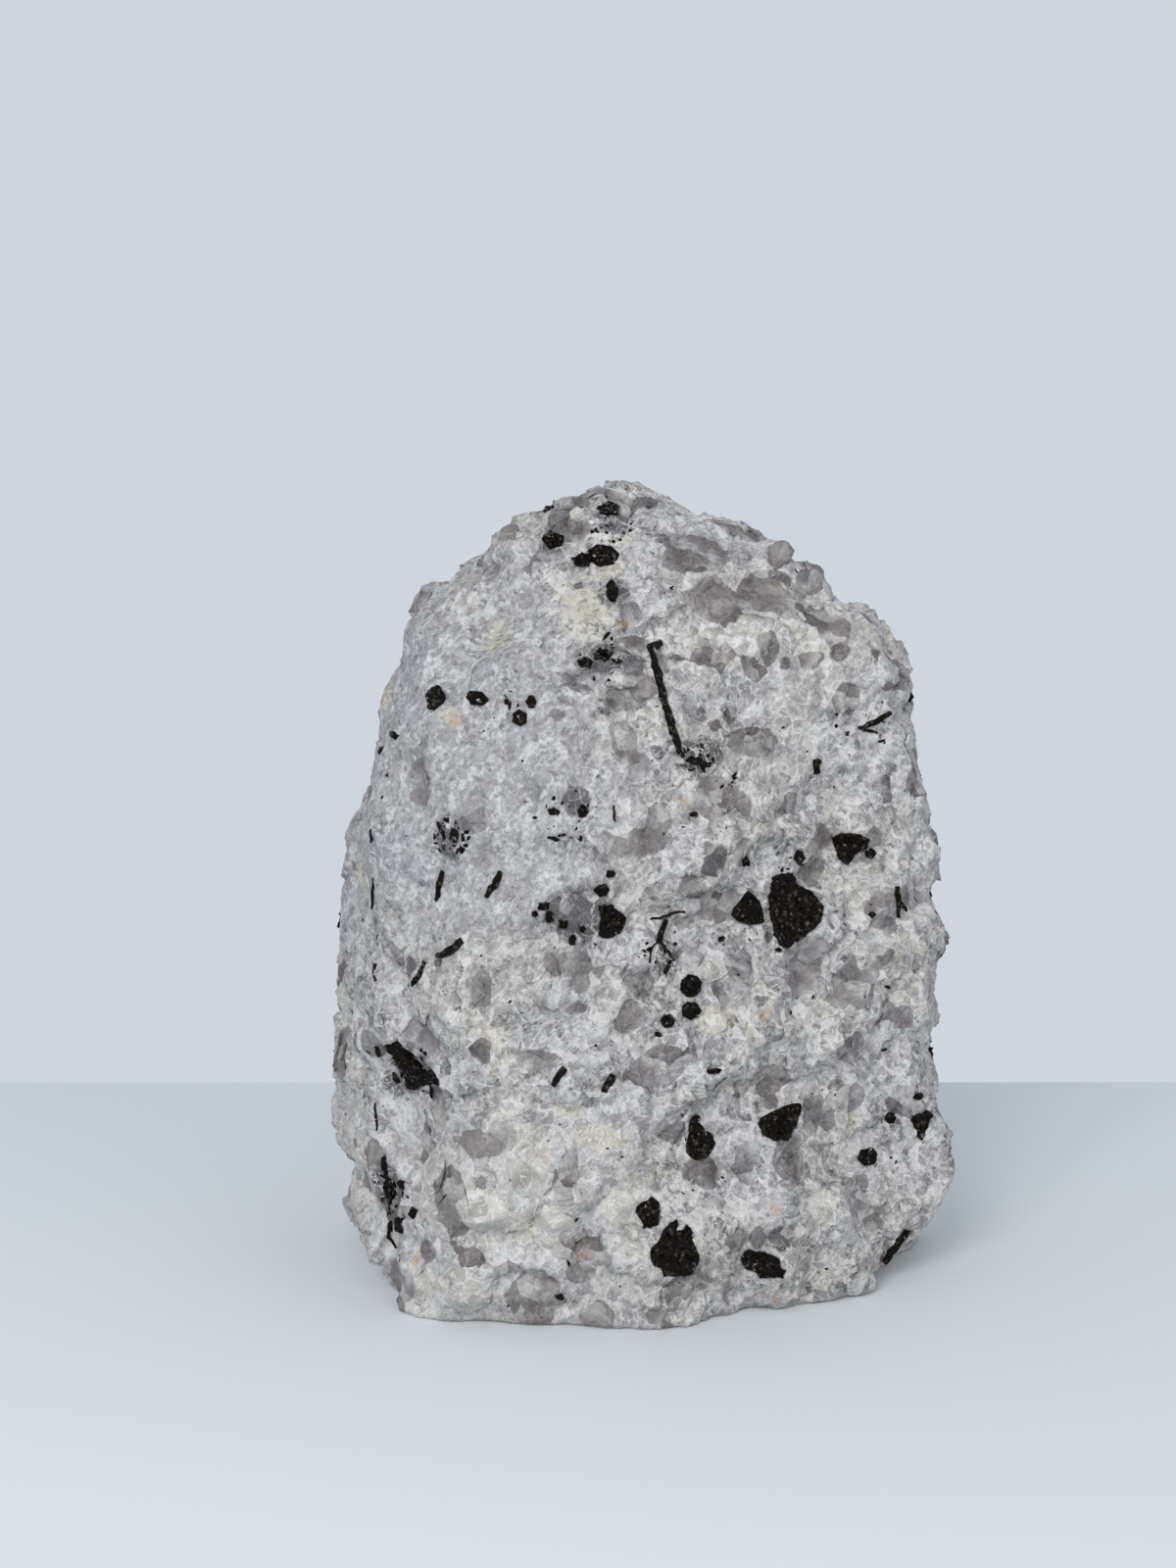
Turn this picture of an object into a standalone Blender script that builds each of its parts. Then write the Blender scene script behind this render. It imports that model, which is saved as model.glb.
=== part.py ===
"""A rough block of tourmalinated quartz, broken out of the rock and left as it broke.

The block is one stone. It is lofted from level sections, cut by the flat breaks that give it its corners,
roughened into broken grains, trimmed flat where it stands, and joined with the black tourmaline prisms
that grew in it. Lengths are in millimetres until the last step, which turns them into metres.
X is to the right, Y to the back and Z up, seen by someone who faces the broken front.
"""

import math

import bmesh
import bpy
import numpy as np
from mathutils import Matrix, Vector, kdtree
from mathutils.bvhtree import BVHTree

MILLIMETRE = 0.001
SEED = 11

# The outline, as (height, x) up the left and the right side and (height, y) up the front and the back.
BELOW = -4.0
LEFT_SIDE = (
    (BELOW, -29.8), (2.5, -31.4), (7.0, -34.0), (12.0, -35.8), (19.0, -36.2), (26.0, -35.2), (38.0, -34.0),
    (50.0, -33.4), (53.6, -30.2), (60.5, -29.0), (68.0, -27.0), (76.0, -24.0), (80.5, -20.4), (86.0, -12.8),
    (89.5, -5.6),
)
RIGHT_SIDE = (
    (BELOW, 32.0), (5.0, 33.2), (10.0, 34.2), (18.0, 33.4), (24.0, 32.8), (33.0, 33.2), (38.0, 34.2),
    (44.0, 32.8), (49.0, 33.0), (56.0, 31.2), (66.0, 30.0), (73.5, 27.4), (77.0, 23.6), (80.5, 18.4),
    (84.0, 11.8), (86.4, 6.6), (89.5, 1.4),
)
FRONT_SIDE = (
    (BELOW, -22.2), (12.0, -24.8), (38.0, -24.6), (58.0, -21.8), (72.0, -17.0), (82.0, -11.0), (89.5, -2.6),
)
BACK_SIDE = (
    (BELOW, 20.0), (10.0, 23.4), (30.0, 25.2), (52.0, 23.6), (68.0, 19.4), (80.0, 13.4), (89.5, 5.4),
)
SQUARENESS = 3.6
SECTION_POINTS = 72
SECTION_STEP = 1.5

# Flat breaks, each a point on the plane and the plane's outward direction.
BREAKS = (
    ((4.3, -21.8, 0.0), (0.42, -0.90, 0.04)),
    ((-18.0, -24.4, 30.0), (-0.67, -0.74, 0.03)),
    ((-29.1, -14.0, 40.0), (-0.95, -0.30, 0.03)),
    ((-24.0, 20.0, 40.0), (-0.62, 0.76, 0.14)),
    ((27.0, 15.0, 30.0), (0.80, 0.58, 0.10)),
    ((31.5, -9.0, 30.0), (0.86, -0.50, 0.02)),
    ((24.2, -12.6, 0.0), (0.80, -0.35, -0.49)),
    ((-31.5, 14.0, 6.0), (-0.60, 0.36, -0.72)),
    ((4.0, 22.0, 64.0), (0.16, 0.84, 0.52)),
    ((-16.0, -15.0, 72.0), (-0.36, -0.72, 0.60)),
    ((14.0, -13.0, 76.5), (0.30, -0.52, 0.80)),
    ((4.0, 24.0, 8.0), (0.10, 0.86, -0.50)),
)

# Hollows, each cut by a box: its middle, its half sizes, and its turns about Z, then its own Y and its own X.
# The first lies under a slanting ledge low on the left, and the second is the crease that runs down from it.
HOLLOWS = (
    ((-29.3, -18.2, 22.5), (5.5, 5.0, 6.5), (-42.0, 25.0, -18.0)),
    ((-31.0, -16.0, 11.0), (2.6, 4.0, 12.0), (-55.0, 4.0, 0.0)),
)

# Ledges on the front: the line of each, as (x, z) from left to right, and how far its upper side stands out.
LEDGES = (
    (((-16.0, 12.5), (-12.0, 13.5), (-9.0, 12.0), (-5.0, 15.0), (-1.0, 17.5)), 0.9),
    (((-19.0, 2.5), (-16.0, 6.0), (-8.0, 6.5), (-3.0, 7.4), (2.0, 6.2), (7.0, 7.0)), 1.0),
    (((-1.0, 75.0), (2.0, 76.5), (4.0, 76.0), (5.5, 79.0), (10.0, 79.5)), 1.1),
    (((4.0, 24.5), (9.0, 27.0), (15.0, 24.5), (20.0, 27.0)), 0.7),
    (((-4.0, 47.0), (1.0, 45.2), (5.0, 46.5)), 0.8),
    (((12.0, 52.5), (17.0, 50.5), (22.0, 51.5), (27.0, 55.0)), 0.7),
    (((-29.4, 24.0), (-29.2, 34.0), (-29.0, 44.0), (-28.4, 53.0)), -0.8),
)
LEDGE_REACH = 5.0

# Quartz grains that stand out of the block: middle, radius and height.
LUMPS = (
    ((15.4, -4.0, 82.0), 3.0, 1.3),
    ((20.2, -3.0, 79.2), 3.2, 1.5),
    ((25.4, -3.0, 76.0), 3.2, 0.8),
    ((33.6, -1.0, 38.0), 3.4, 0.8),
    ((34.4, 0.0, 12.0), 5.0, 0.4),
    ((32.4, -2.0, 49.0), 3.6, 0.7),
)

# The broken grains, coarse to fine: size, step from grain to grain, tilt of a grain's face.
GRAINS = ((17.0, 0.45, 0.07), (8.5, 0.34, 0.12), (4.6, 0.24, 0.17))
GRAIN_BLEND = 0.08
FINE_VOXEL = 0.9
CLEAN_VOXEL = 0.7
STONE_TRIANGLES = 7600

# Where one looks from, for the places of the crystals. A place is across and up, or right and back on top.
LOOKS = {"front": (0, 1, 0), "back": (0, -1, 0), "left": (1, 0, 0), "right": (-1, 0, 0), "top": (0, 0, -1)}
FAR = 100.0
SEAT_RAYS = 8

# Tourmaline prisms that stand end on: side, place, width, height, corners and turn in degrees.
# Three corners means the rounded triangle of nine sides that tourmaline grows in.
PRISMS = (
    ("front", (17.0, 43.7), 5.9, 8.0, 3, -100.0),
    ("front", (11.6, 44.3), 3.2, 3.6, 3, 160.0),
    ("front", (-3.3, 44.4), 3.2, 3.9, 6, 10.0),
    ("front", (-22.5, 67.3), 2.2, 2.5, 6, 20.0),
    ("front", (-17.6, 67.6), 2.5, 1.6, 6, 0.0),
    ("front", (-13.0, 65.7), 1.6, 1.8, 6, 30.0),
    ("front", (-4.8, 82.3), 5.2, 2.3, 6, 8.0),
    ("front", (-9.7, 84.0), 2.5, 2.0, 4, 30.0),
    ("front", (-3.5, 87.4), 2.8, 1.8, 6, 20.0),
    ("front", (-3.2, 78.7), 1.5, 2.3, 6, 10.0),
    ("front", (-5.0, 71.5), 3.2, 1.7, 4, 25.0),
    ("front", (5.2, 36.9), 2.3, 2.4, 6, 15.0),
    ("front", (5.3, 34.2), 2.0, 1.9, 6, 0.0),
    ("front", (2.7, 33.5), 1.6, 1.6, 6, 0.0),
    ("front", (6.2, 20.1), 3.1, 4.6, 3, 95.0),
    ("front", (15.3, 21.0), 4.7, 3.8, 4, 40.0),
    ("front", (3.3, 9.0), 5.2, 5.3, 3, 70.0),
    ("front", (0.6, 12.8), 2.7, 3.0, 6, 0.0),
    ("front", (13.1, 6.2), 4.8, 3.0, 6, -15.0),
    ("front", (25.5, 15.4), 2.3, 2.0, 6, 10.0),
    ("front", (31.8, 17.8), 2.7, 3.4, 3, -90.0),
    ("front", (23.0, 50.0), 3.8, 2.8, 6, 25.0),
    ("front", (-20.5, 52.5), 2.4, 3.2, 4, 15.0),
    ("front", (-11.0, 45.1), 1.9, 1.6, 6, 0.0),
    ("back", (-14.0, 60.0), 3.6, 4.2, 3, 20.0),
    ("back", (8.0, 70.0), 2.6, 2.2, 6, 0.0),
    ("back", (12.0, 44.0), 5.2, 4.4, 3, 200.0),
    ("back", (-8.0, 34.0), 2.6, 2.8, 6, 10.0),
    ("back", (-20.0, 24.0), 3.2, 2.6, 4, 35.0),
    ("back", (4.0, 20.0), 4.4, 5.4, 3, 80.0),
    ("back", (18.0, 28.0), 2.2, 2.4, 6, 25.0),
    ("left", (6.0, 40.0), 3.0, 3.6, 3, 90.0),
    ("left", (12.0, 60.0), 2.2, 2.6, 6, 0.0),
    ("left", (4.0, 14.0), 3.6, 3.0, 6, 15.0),
    ("right", (6.0, 54.0), 2.6, 3.0, 6, 20.0),
    ("right", (12.0, 36.0), 3.8, 4.4, 3, -60.0),
    ("right", (2.0, 24.0), 2.4, 2.0, 6, 0.0),
    ("top", (3.0, 6.0), 2.6, 2.2, 6, 0.0),
    ("top", (14.0, 5.0), 3.0, 2.4, 3, 45.0),
)
TRIANGLE_SIDES = 9
TRIANGLE_BULGE = 0.14
PRISM_PROUD = 0.5
PRISM_DEPTH = 3.0

# Tourmaline prisms that lie along the surface: side, one end, the other end and thickness.
NEEDLES = (
    ("front", (1.0, 72.6), (4.0, 61.7), 0.9),
    ("front", (4.2, 61.6), (7.2, 61.0), 1.6),
    ("front", (23.8, 63.4), (27.4, 65.0), 0.8),
    ("front", (18.7, 61.8), (18.3, 59.2), 0.7),
    ("front", (-21.2, 49.2), (-21.9, 45.8), 0.8),
    ("front", (-14.9, 49.5), (-16.4, 47.0), 1.0),
    ("front", (-21.8, 40.2), (-19.0, 42.4), 1.1),
    ("front", (-23.1, 39.4), (-24.6, 36.6), 1.0),
    ("front", (-8.3, 29.4), (-9.4, 27.6), 1.0),
    ("front", (-3.1, 28.3), (-4.1, 26.5), 1.0),
    ("front", (1.8, 43.8), (0.8, 40.0), 0.8),
    ("front", (28.5, 45.8), (28.7, 42.2), 0.8),
    ("front", (-27.6, 28.2), (-23.0, 25.2), 2.2),
    ("front", (-29.0, 15.0), (-27.4, 8.6), 1.8),
    ("front", (27.2, 2.0), (30.0, 6.4), 1.2),
    ("back", (-3.0, 54.0), (3.0, 46.0), 1.1),
    ("back", (-20.0, 44.0), (-17.0, 40.0), 1.0),
    ("left", (9.0, 28.0), (14.0, 33.0), 1.1),
    ("right", (3.0, 45.0), (7.0, 40.0), 1.0),
)
NEEDLE_RAYS = 5
NEEDLE_MOST_LIFT = 0.9

QUARTZ_WHITE = (0.66, 0.65, 0.67, 1.0)
QUARTZ_ROUGHNESS = 0.55
TOURMALINE_BLACK = (0.010, 0.008, 0.007, 1.0)
TOURMALINE_ROUGHNESS = 0.3


def value_at(profile, height):
    """The profile's value at a height, in straight runs between its points."""
    heights, values = zip(*profile)
    return np.interp(height, heights, values)


def section_radius(direction, height, centre, sides):
    """How far the section reaches in a level direction from its centre."""
    left, right, front, back = sides
    across, deep = direction
    half_width = right - centre[0] if across > 0 else centre[0] - left
    half_depth = back - centre[1] if deep > 0 else centre[1] - front
    reach = (abs(across) / half_width) ** SQUARENESS + (abs(deep) / half_depth) ** SQUARENESS
    radius = reach ** (-1.0 / SQUARENESS)
    for point, normal in BREAKS:
        outward = normal[0] * across + normal[1] * deep
        if outward <= 0.05:
            continue
        gap = sum(n * (p - c) for n, p, c in zip(normal, point, (centre[0], centre[1], height)))
        radius = min(radius, max(gap / outward, 0.6))
    return radius


def lofted_block():
    """The block before it is roughened: level rings joined by quads and closed at both ends."""
    mesh = bmesh.new()
    top = LEFT_SIDE[-1][0]
    heights = np.linspace(BELOW, top, int((top - BELOW) / SECTION_STEP) + 1)
    rings = []
    for height in heights:
        sides = [value_at(side, height) for side in (LEFT_SIDE, RIGHT_SIDE, FRONT_SIDE, BACK_SIDE)]
        centre = ((sides[0] + sides[1]) / 2, (sides[2] + sides[3]) / 2)
        ring = []
        for step in range(SECTION_POINTS):
            angle = 2 * math.pi * step / SECTION_POINTS
            direction = (math.cos(angle), math.sin(angle))
            radius = section_radius(direction, height, centre, sides)
            ring.append(
                mesh.verts.new((centre[0] + radius * direction[0], centre[1] + radius * direction[1], height))
            )
        rings.append(ring)
    for lower, upper in zip(rings, rings[1:]):
        for i in range(SECTION_POINTS):
            j = (i + 1) % SECTION_POINTS
            mesh.faces.new((lower[i], lower[j], upper[j], upper[i]))
    mesh.faces.new(list(reversed(rings[0])))
    mesh.faces.new(rings[-1])
    return object_from(mesh, "stone")


def object_from(mesh, name):
    """A new object that holds a bmesh, which is freed."""
    data = bpy.data.meshes.new(name)
    bmesh.ops.recalc_face_normals(mesh, faces=mesh.faces)
    mesh.to_mesh(data)
    mesh.free()
    made = bpy.data.objects.new(name, data)
    bpy.context.scene.collection.objects.link(made)
    return made


def apply_modifiers(made):
    """Replaces an object's mesh with the one that its modifiers give."""
    bpy.context.view_layer.update()
    graph = bpy.context.evaluated_depsgraph_get()
    evaluated = bpy.data.meshes.new_from_object(made.evaluated_get(graph))
    made.modifiers.clear()
    made.data = evaluated


def join_or_cut(made, other, operation):
    """A Boolean of two objects, applied. The other object is removed, and its faces keep their material."""
    boolean = made.modifiers.new(operation, "BOOLEAN")
    boolean.operation = operation
    boolean.object = other
    boolean.solver = "EXACT"
    boolean.material_mode = "TRANSFER"
    apply_modifiers(made)
    bpy.data.objects.remove(other)


def cut_hollows(stone):
    """Takes out the hollow under the ledge low on the left, and the crease below it."""
    for middle, half_sizes, turns in HOLLOWS:
        about_z, about_y, about_x = (Matrix.Rotation(math.radians(t), 4, a) for t, a in zip(turns, "ZYX"))
        mesh = bmesh.new()
        bmesh.ops.create_cube(mesh, size=2.0)
        sized = Matrix.Diagonal((*half_sizes, 1.0))
        mesh.transform(Matrix.Translation(middle) @ about_z @ about_y @ about_x @ sized)
        join_or_cut(stone, object_from(mesh, "hollow"), "DIFFERENCE")


def remesh_evenly(stone, voxel):
    """One closed skin of even quads, with no folds through itself."""
    remesh = stone.modifiers.new("even", "REMESH")
    remesh.mode = "VOXEL"
    remesh.voxel_size = voxel
    apply_modifiers(stone)


def points_of(mesh):
    points = np.empty(len(mesh.vertices) * 3)
    mesh.vertices.foreach_get("co", points)
    return points.reshape(-1, 3)


def normals_of(mesh):
    normals = np.empty(len(mesh.vertices) * 3)
    mesh.vertex_normals.foreach_get("vector", normals)
    return normals.reshape(-1, 3)


def grain_field(points, size, step, tilt, random):
    """A height for each point, made of tilted flats that meet in small steps, one flat to a grain."""
    low = points.min(axis=0) - size
    counts = np.ceil((points.max(axis=0) + size - low) / size).astype(int)
    corners = np.stack(np.meshgrid(*[np.arange(n) for n in counts], indexing="ij"), axis=-1).reshape(-1, 3)
    centres = low + (corners + random.uniform(0.1, 0.9, corners.shape)) * size
    offsets = random.uniform(-step, step, len(centres))
    tilts = random.normal(0.0, tilt, centres.shape)
    tree = kdtree.KDTree(len(centres))
    for index, centre in enumerate(centres):
        tree.insert(centre, index)
    tree.balance()
    heights = np.empty(len(points))
    for row, point in enumerate(points):
        near = tree.find_n(point, 3)
        total = 0.0
        weight_sum = 0.0
        for _, index, distance in near:
            weight = math.exp(-(distance - near[0][2]) / (GRAIN_BLEND * size))
            total += weight * (offsets[index] + float(tilts[index] @ (point - centres[index])))
            weight_sum += weight
        heights[row] = total / weight_sum
    return heights


def distance_to_line(points, line):
    """How far each (x, z) point is from a line of straight runs, and whether it lies above it."""
    nearest = np.full(len(points), np.inf)
    above = np.zeros(len(points), bool)
    for start, end in zip(line, line[1:]):
        start, end = np.array(start), np.array(end)
        run = end - start
        share = np.clip((points - start) @ run / (run @ run), 0.0, 1.0)
        away = points - (start + share[:, None] * run)
        distance = np.hypot(away[:, 0], away[:, 1])
        closer = distance < nearest
        nearest[closer] = distance[closer]
        above[closer] = (run[0] * away[:, 1] - run[1] * away[:, 0])[closer] > 0
    return nearest, above


def raise_ledges(stone):
    """Steps across the front face: the upper side stands out and the lower side is set back."""
    points = points_of(stone.data)
    normals = normals_of(stone.data)
    facing = np.clip(-normals[:, 1] * 2.0, 0.0, 1.0)
    for line, step in LEDGES:
        distance, above = distance_to_line(points[:, [0, 2]], line)
        fade = np.exp(-distance / LEDGE_REACH) * facing
        points += normals * (np.where(above, step, -0.6 * step) * fade)[:, None]
    for middle, radius, height in LUMPS:
        share = np.linalg.norm(points - np.array(middle), axis=1) / radius
        points += normals * (height * np.clip(1.0 - share**2, 0.0, 1.0))[:, None]
    stone.data.vertices.foreach_set("co", points.ravel())
    stone.data.update()


def roughen(stone):
    """Breaks the even surface into grains, coarse to fine, along its own normals."""
    random = np.random.default_rng(SEED)
    for size, step, tilt in GRAINS:
        points = points_of(stone.data)
        heights = grain_field(points, size, step, tilt, random)
        points += normals_of(stone.data) * heights[:, None]
        stone.data.vertices.foreach_set("co", points.ravel())
        stone.data.update()


def thin_out(stone, triangles):
    """Fewer triangles, kept where the surface turns."""
    stone.data.calc_loop_triangles()
    decimate = stone.modifiers.new("fewer", "DECIMATE")
    decimate.ratio = triangles / len(stone.data.loop_triangles)
    apply_modifiers(stone)


def sight(side, place):
    """Where a line of sight starts and which way it goes."""
    look = Vector(LOOKS[side])
    across, up = place
    if look.y:
        spot = Vector((across, 0.0, up))
    elif look.x:
        spot = Vector((0.0, across, up))
    else:
        spot = Vector((across, up, 0.0))
    return spot - look * FAR, look


def view_axes(side, normal):
    """Across and up as seen from a side, laid flat on a surface with this normal."""
    across = Vector((0, 1, 0)) if side in ("left", "right") else Vector((1, 0, 0))
    up = Vector((0, 1, 0)) if side == "top" else Vector((0, 0, 1))
    flat_across = (across - normal * normal.dot(across)).normalized()
    flat_up = normal.cross(flat_across)
    if flat_up.dot(up) < 0:
        flat_up = -flat_up
    return flat_across, flat_up


def seat(tree, side, place, reach):
    """The middle and the mean normal of the surface around a place."""
    points = []
    normals = []
    for angle in np.arange(SEAT_RAYS) * 2 * math.pi / SEAT_RAYS:
        spot = (place[0] + reach * math.cos(angle), place[1] + reach * math.sin(angle))
        point, normal, _, _ = tree.ray_cast(*sight(side, spot))
        if point is not None:
            points.append(point)
            normals.append(normal)
    return sum(points, Vector()) / len(points), sum(normals, Vector()).normalized()


def outline_corners(width, height, corners, turn):
    """The corners of a crystal's end, fitted to its width and height."""
    count, bulge = (TRIANGLE_SIDES, TRIANGLE_BULGE) if corners == 3 else (corners, 0.0)
    angles = np.arange(count) * 2 * math.pi / count
    radii = 1.0 + bulge * np.cos(3 * angles)
    points = np.stack([radii * np.cos(angles + turn), radii * np.sin(angles + turn)], axis=1)
    size = points.max(axis=0) - points.min(axis=0)
    return (points - points.min(axis=0)) / size * (width, height) - (width / 2, height / 2)


def add_prism(mesh, lower, upper):
    """A closed prism between two rings of corners."""
    low = [mesh.verts.new(point) for point in lower]
    high = [mesh.verts.new(point) for point in upper]
    for i in range(len(low)):
        j = (i + 1) % len(low)
        mesh.faces.new((low[i], low[j], high[j], high[i]))
    mesh.faces.new(list(reversed(low)))
    mesh.faces.new(high)


def add_end_on_prism(mesh, tree, side, place, width, height, corners, turn):
    """A prism that goes straight into the stone and stands a little out of it."""
    middle, normal = seat(tree, side, place, (width + height) / 4)
    across, up = view_axes(side, normal)
    ring = outline_corners(width, height, corners, math.radians(turn))
    flat = [middle + across * a + up * b for a, b in ring]
    add_prism(mesh, [p - normal * PRISM_DEPTH for p in flat], [p + normal * PRISM_PROUD for p in flat])


def add_needle(mesh, tree, side, start, end, thickness):
    """A six-sided prism along the surface, lifted so that the bumps between its ends don't hide it."""
    first, first_normal = seat(tree, side, start, thickness / 2)
    last, last_normal = seat(tree, side, end, thickness / 2)
    normal = (first_normal + last_normal).normalized()
    lift = 0.0
    for share in np.linspace(0.0, 1.0, NEEDLE_RAYS):
        between = [a + share * (b - a) for a, b in zip(start, end)]
        point, _, _, _ = tree.ray_cast(*sight(side, between))
        lift = max(lift, (point - first.lerp(last, share)).dot(normal))
    rise = normal * min(lift, NEEDLE_MOST_LIFT)
    along = (last - first).normalized()
    sideways = along.cross(normal).normalized()
    ring = outline_corners(thickness, thickness, 6, 0.0)
    lower, upper = ([end + rise + sideways * a + normal * b for a, b in ring] for end in (first, last))
    add_prism(mesh, lower, upper)


def add_tourmalines(stone):
    """Joins every black prism into the stone."""
    tree = BVHTree.FromPolygons(
        [v.co.copy() for v in stone.data.vertices], [p.vertices[:] for p in stone.data.polygons]
    )
    mesh = bmesh.new()
    for prism in PRISMS:
        add_end_on_prism(mesh, tree, *prism)
    for needle in NEEDLES:
        add_needle(mesh, tree, *needle)
    crystals = object_from(mesh, "tourmaline")
    crystals.data.materials.append(plain_material("black_tourmaline", TOURMALINE_BLACK, TOURMALINE_ROUGHNESS))
    join_or_cut(stone, crystals, "UNION")


def drop_crumbs(stone):
    """Leaves the stone's one body, without the loose crumbs that a union can leave beside it."""
    mesh = bmesh.new()
    mesh.from_mesh(stone.data)
    unseen = set(mesh.verts)
    bodies = []
    while unseen:
        body = {unseen.pop()}
        fresh = set(body)
        while fresh:
            fresh = {edge.other_vert(vert) for vert in fresh for edge in vert.link_edges} & unseen
            unseen -= fresh
            body |= fresh
        bodies.append(body)
    bodies.sort(key=len)
    crumbs = [vert for body in bodies[:-1] for vert in body]
    bmesh.ops.delete(mesh, geom=crumbs, context="VERTS")
    mesh.to_mesh(stone.data)
    mesh.free()


def trim_base(stone):
    """Cuts the block off at height 0, which is the flat that it stands on."""
    mesh = bmesh.new()
    mesh.from_mesh(stone.data)
    cut = bmesh.ops.bisect_plane(
        mesh,
        geom=mesh.verts[:] + mesh.edges[:] + mesh.faces[:],
        plane_co=(0, 0, 0),
        plane_no=(0, 0, -1),
        clear_outer=True,
    )
    edges = [e for e in cut["geom_cut"] if isinstance(e, bmesh.types.BMEdge)]
    bmesh.ops.contextual_create(mesh, geom=edges)
    bmesh.ops.recalc_face_normals(mesh, faces=mesh.faces)
    mesh.to_mesh(stone.data)
    mesh.free()


def centre_over_base(stone):
    """Moves the stone so that the middle of its box is over the origin."""
    points = points_of(stone.data)
    middle = (points.min(axis=0) + points.max(axis=0)) / 2
    stone.data.transform(Matrix.Translation((-middle[0], -middle[1], 0.0)))


def plain_material(name, colour, roughness):
    material = bpy.data.materials.new(name)
    material.use_nodes = True
    shader = material.node_tree.nodes["Principled BSDF"]
    shader.inputs["Base Color"].default_value = colour
    shader.inputs["Roughness"].default_value = roughness
    shader.inputs["Metallic"].default_value = 0.0
    return material


def main():
    for old in list(bpy.data.objects):
        bpy.data.objects.remove(old)
    stone = lofted_block()
    cut_hollows(stone)
    remesh_evenly(stone, FINE_VOXEL)
    raise_ledges(stone)
    roughen(stone)
    remesh_evenly(stone, CLEAN_VOXEL)
    thin_out(stone, STONE_TRIANGLES)
    stone.data.materials.append(plain_material("quartz_and_feldspar", QUARTZ_WHITE, QUARTZ_ROUGHNESS))
    add_tourmalines(stone)
    drop_crumbs(stone)
    trim_base(stone)
    centre_over_base(stone)
    stone.data.transform(Matrix.Scale(MILLIMETRE, 4))


main()
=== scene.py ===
"""The looks of the block of tourmalinated quartz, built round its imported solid.

One closed skin of fine mesh stands in for the faceted solid, broken into grains of quartz and feldspar, with
grey windows of glassy quartz, cream patches and rusty stains. Black tourmaline lies in it as crystals seen
end on, needles and splinters. Lengths and places are in millimetres until a mesh is made.
"""

import itertools
import math

import bmesh
import bpy
import numpy as np
from mathutils import Euler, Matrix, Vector
from mathutils.bvhtree import BVHTree
from mathutils.kdtree import KDTree


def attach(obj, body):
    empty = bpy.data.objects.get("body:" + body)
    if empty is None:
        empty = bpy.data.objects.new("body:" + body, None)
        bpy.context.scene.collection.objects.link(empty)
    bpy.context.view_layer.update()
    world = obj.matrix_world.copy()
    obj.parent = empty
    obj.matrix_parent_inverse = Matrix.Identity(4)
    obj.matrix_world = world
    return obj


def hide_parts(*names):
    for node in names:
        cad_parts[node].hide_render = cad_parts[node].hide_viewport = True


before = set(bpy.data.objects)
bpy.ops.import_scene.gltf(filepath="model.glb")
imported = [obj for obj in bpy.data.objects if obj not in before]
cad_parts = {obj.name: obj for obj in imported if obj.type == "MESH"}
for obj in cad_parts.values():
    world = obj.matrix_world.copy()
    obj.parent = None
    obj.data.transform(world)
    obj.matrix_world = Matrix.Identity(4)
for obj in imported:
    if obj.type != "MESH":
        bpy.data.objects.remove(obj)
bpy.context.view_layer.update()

MM = 0.001
SEED = 5

# The photograph's camera: eye, tilt below level in degrees, and lens on a 36 mm sensor along the long side.
EYE = (-5.8, -266.9, 89.3)
TILT_DOWN = 7.1
LENS = 54.09
SENSOR = 36.0

# The skin: the turn that keeps its quads off the axes, its mesh size and how often it is smoothed.
SKIN_TURN = (0.5, 0.35, 0.4)
SKIN_VOXEL = 0.56
SKIN_SMOOTHING = 4
# The flats that the skin is broken into: size, step, tilt and how much lower where the rock is sugary.
BROAD_FLATS = (6.5, 0.18, 0.08, 0.4)
FINE_FLATS = (1.3, 0.05, 0.14, 0.3)
FLAT_WARP = 0.12
# The height above the base over which the flats come in, and the lowest that any point may be.
BASE_FADE = 1.5
LOWEST = (-np.inf, -np.inf, 0.0)
# The grains of quartz and feldspar, largest first: smallest and largest radius, and how many are tried.
GRAIN_CLASSES = ((2.1, 2.9, 500), (1.5, 2.1, 1800), (1.0, 1.5, 6000), (0.65, 1.0, 16000))
GRAIN_SPACING = 0.62
GRAIN_STEP = 0.06
GRAIN_TILT = 0.10
GRAIN_DEPTH = 0.9
GLASSY_SHARE = 0.13
GLASS_SINK = 0.12
# How many grains count for a point of the skin, and for another grain's outline.
NEAR_GRAINS = 8
NEIGHBOURS = 14
# How far a grain's flat stands over the skin, how high it may stand at a bend, how far off the skin a corner
# may be, and how many white grains show as flats.
FLAT_PROUD = 0.04
MOST_PROUD = 0.16
MOST_CLEAR = 0.5
FLAT_SHARE = 0.45
# Patches of glass and of cream over the hidden sides: how many, and their smallest and largest radius.
HIDDEN_WINDOWS = (150, (0.8, 2.6))
HIDDEN_CREAMS = (30, (1.2, 3.4))

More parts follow.
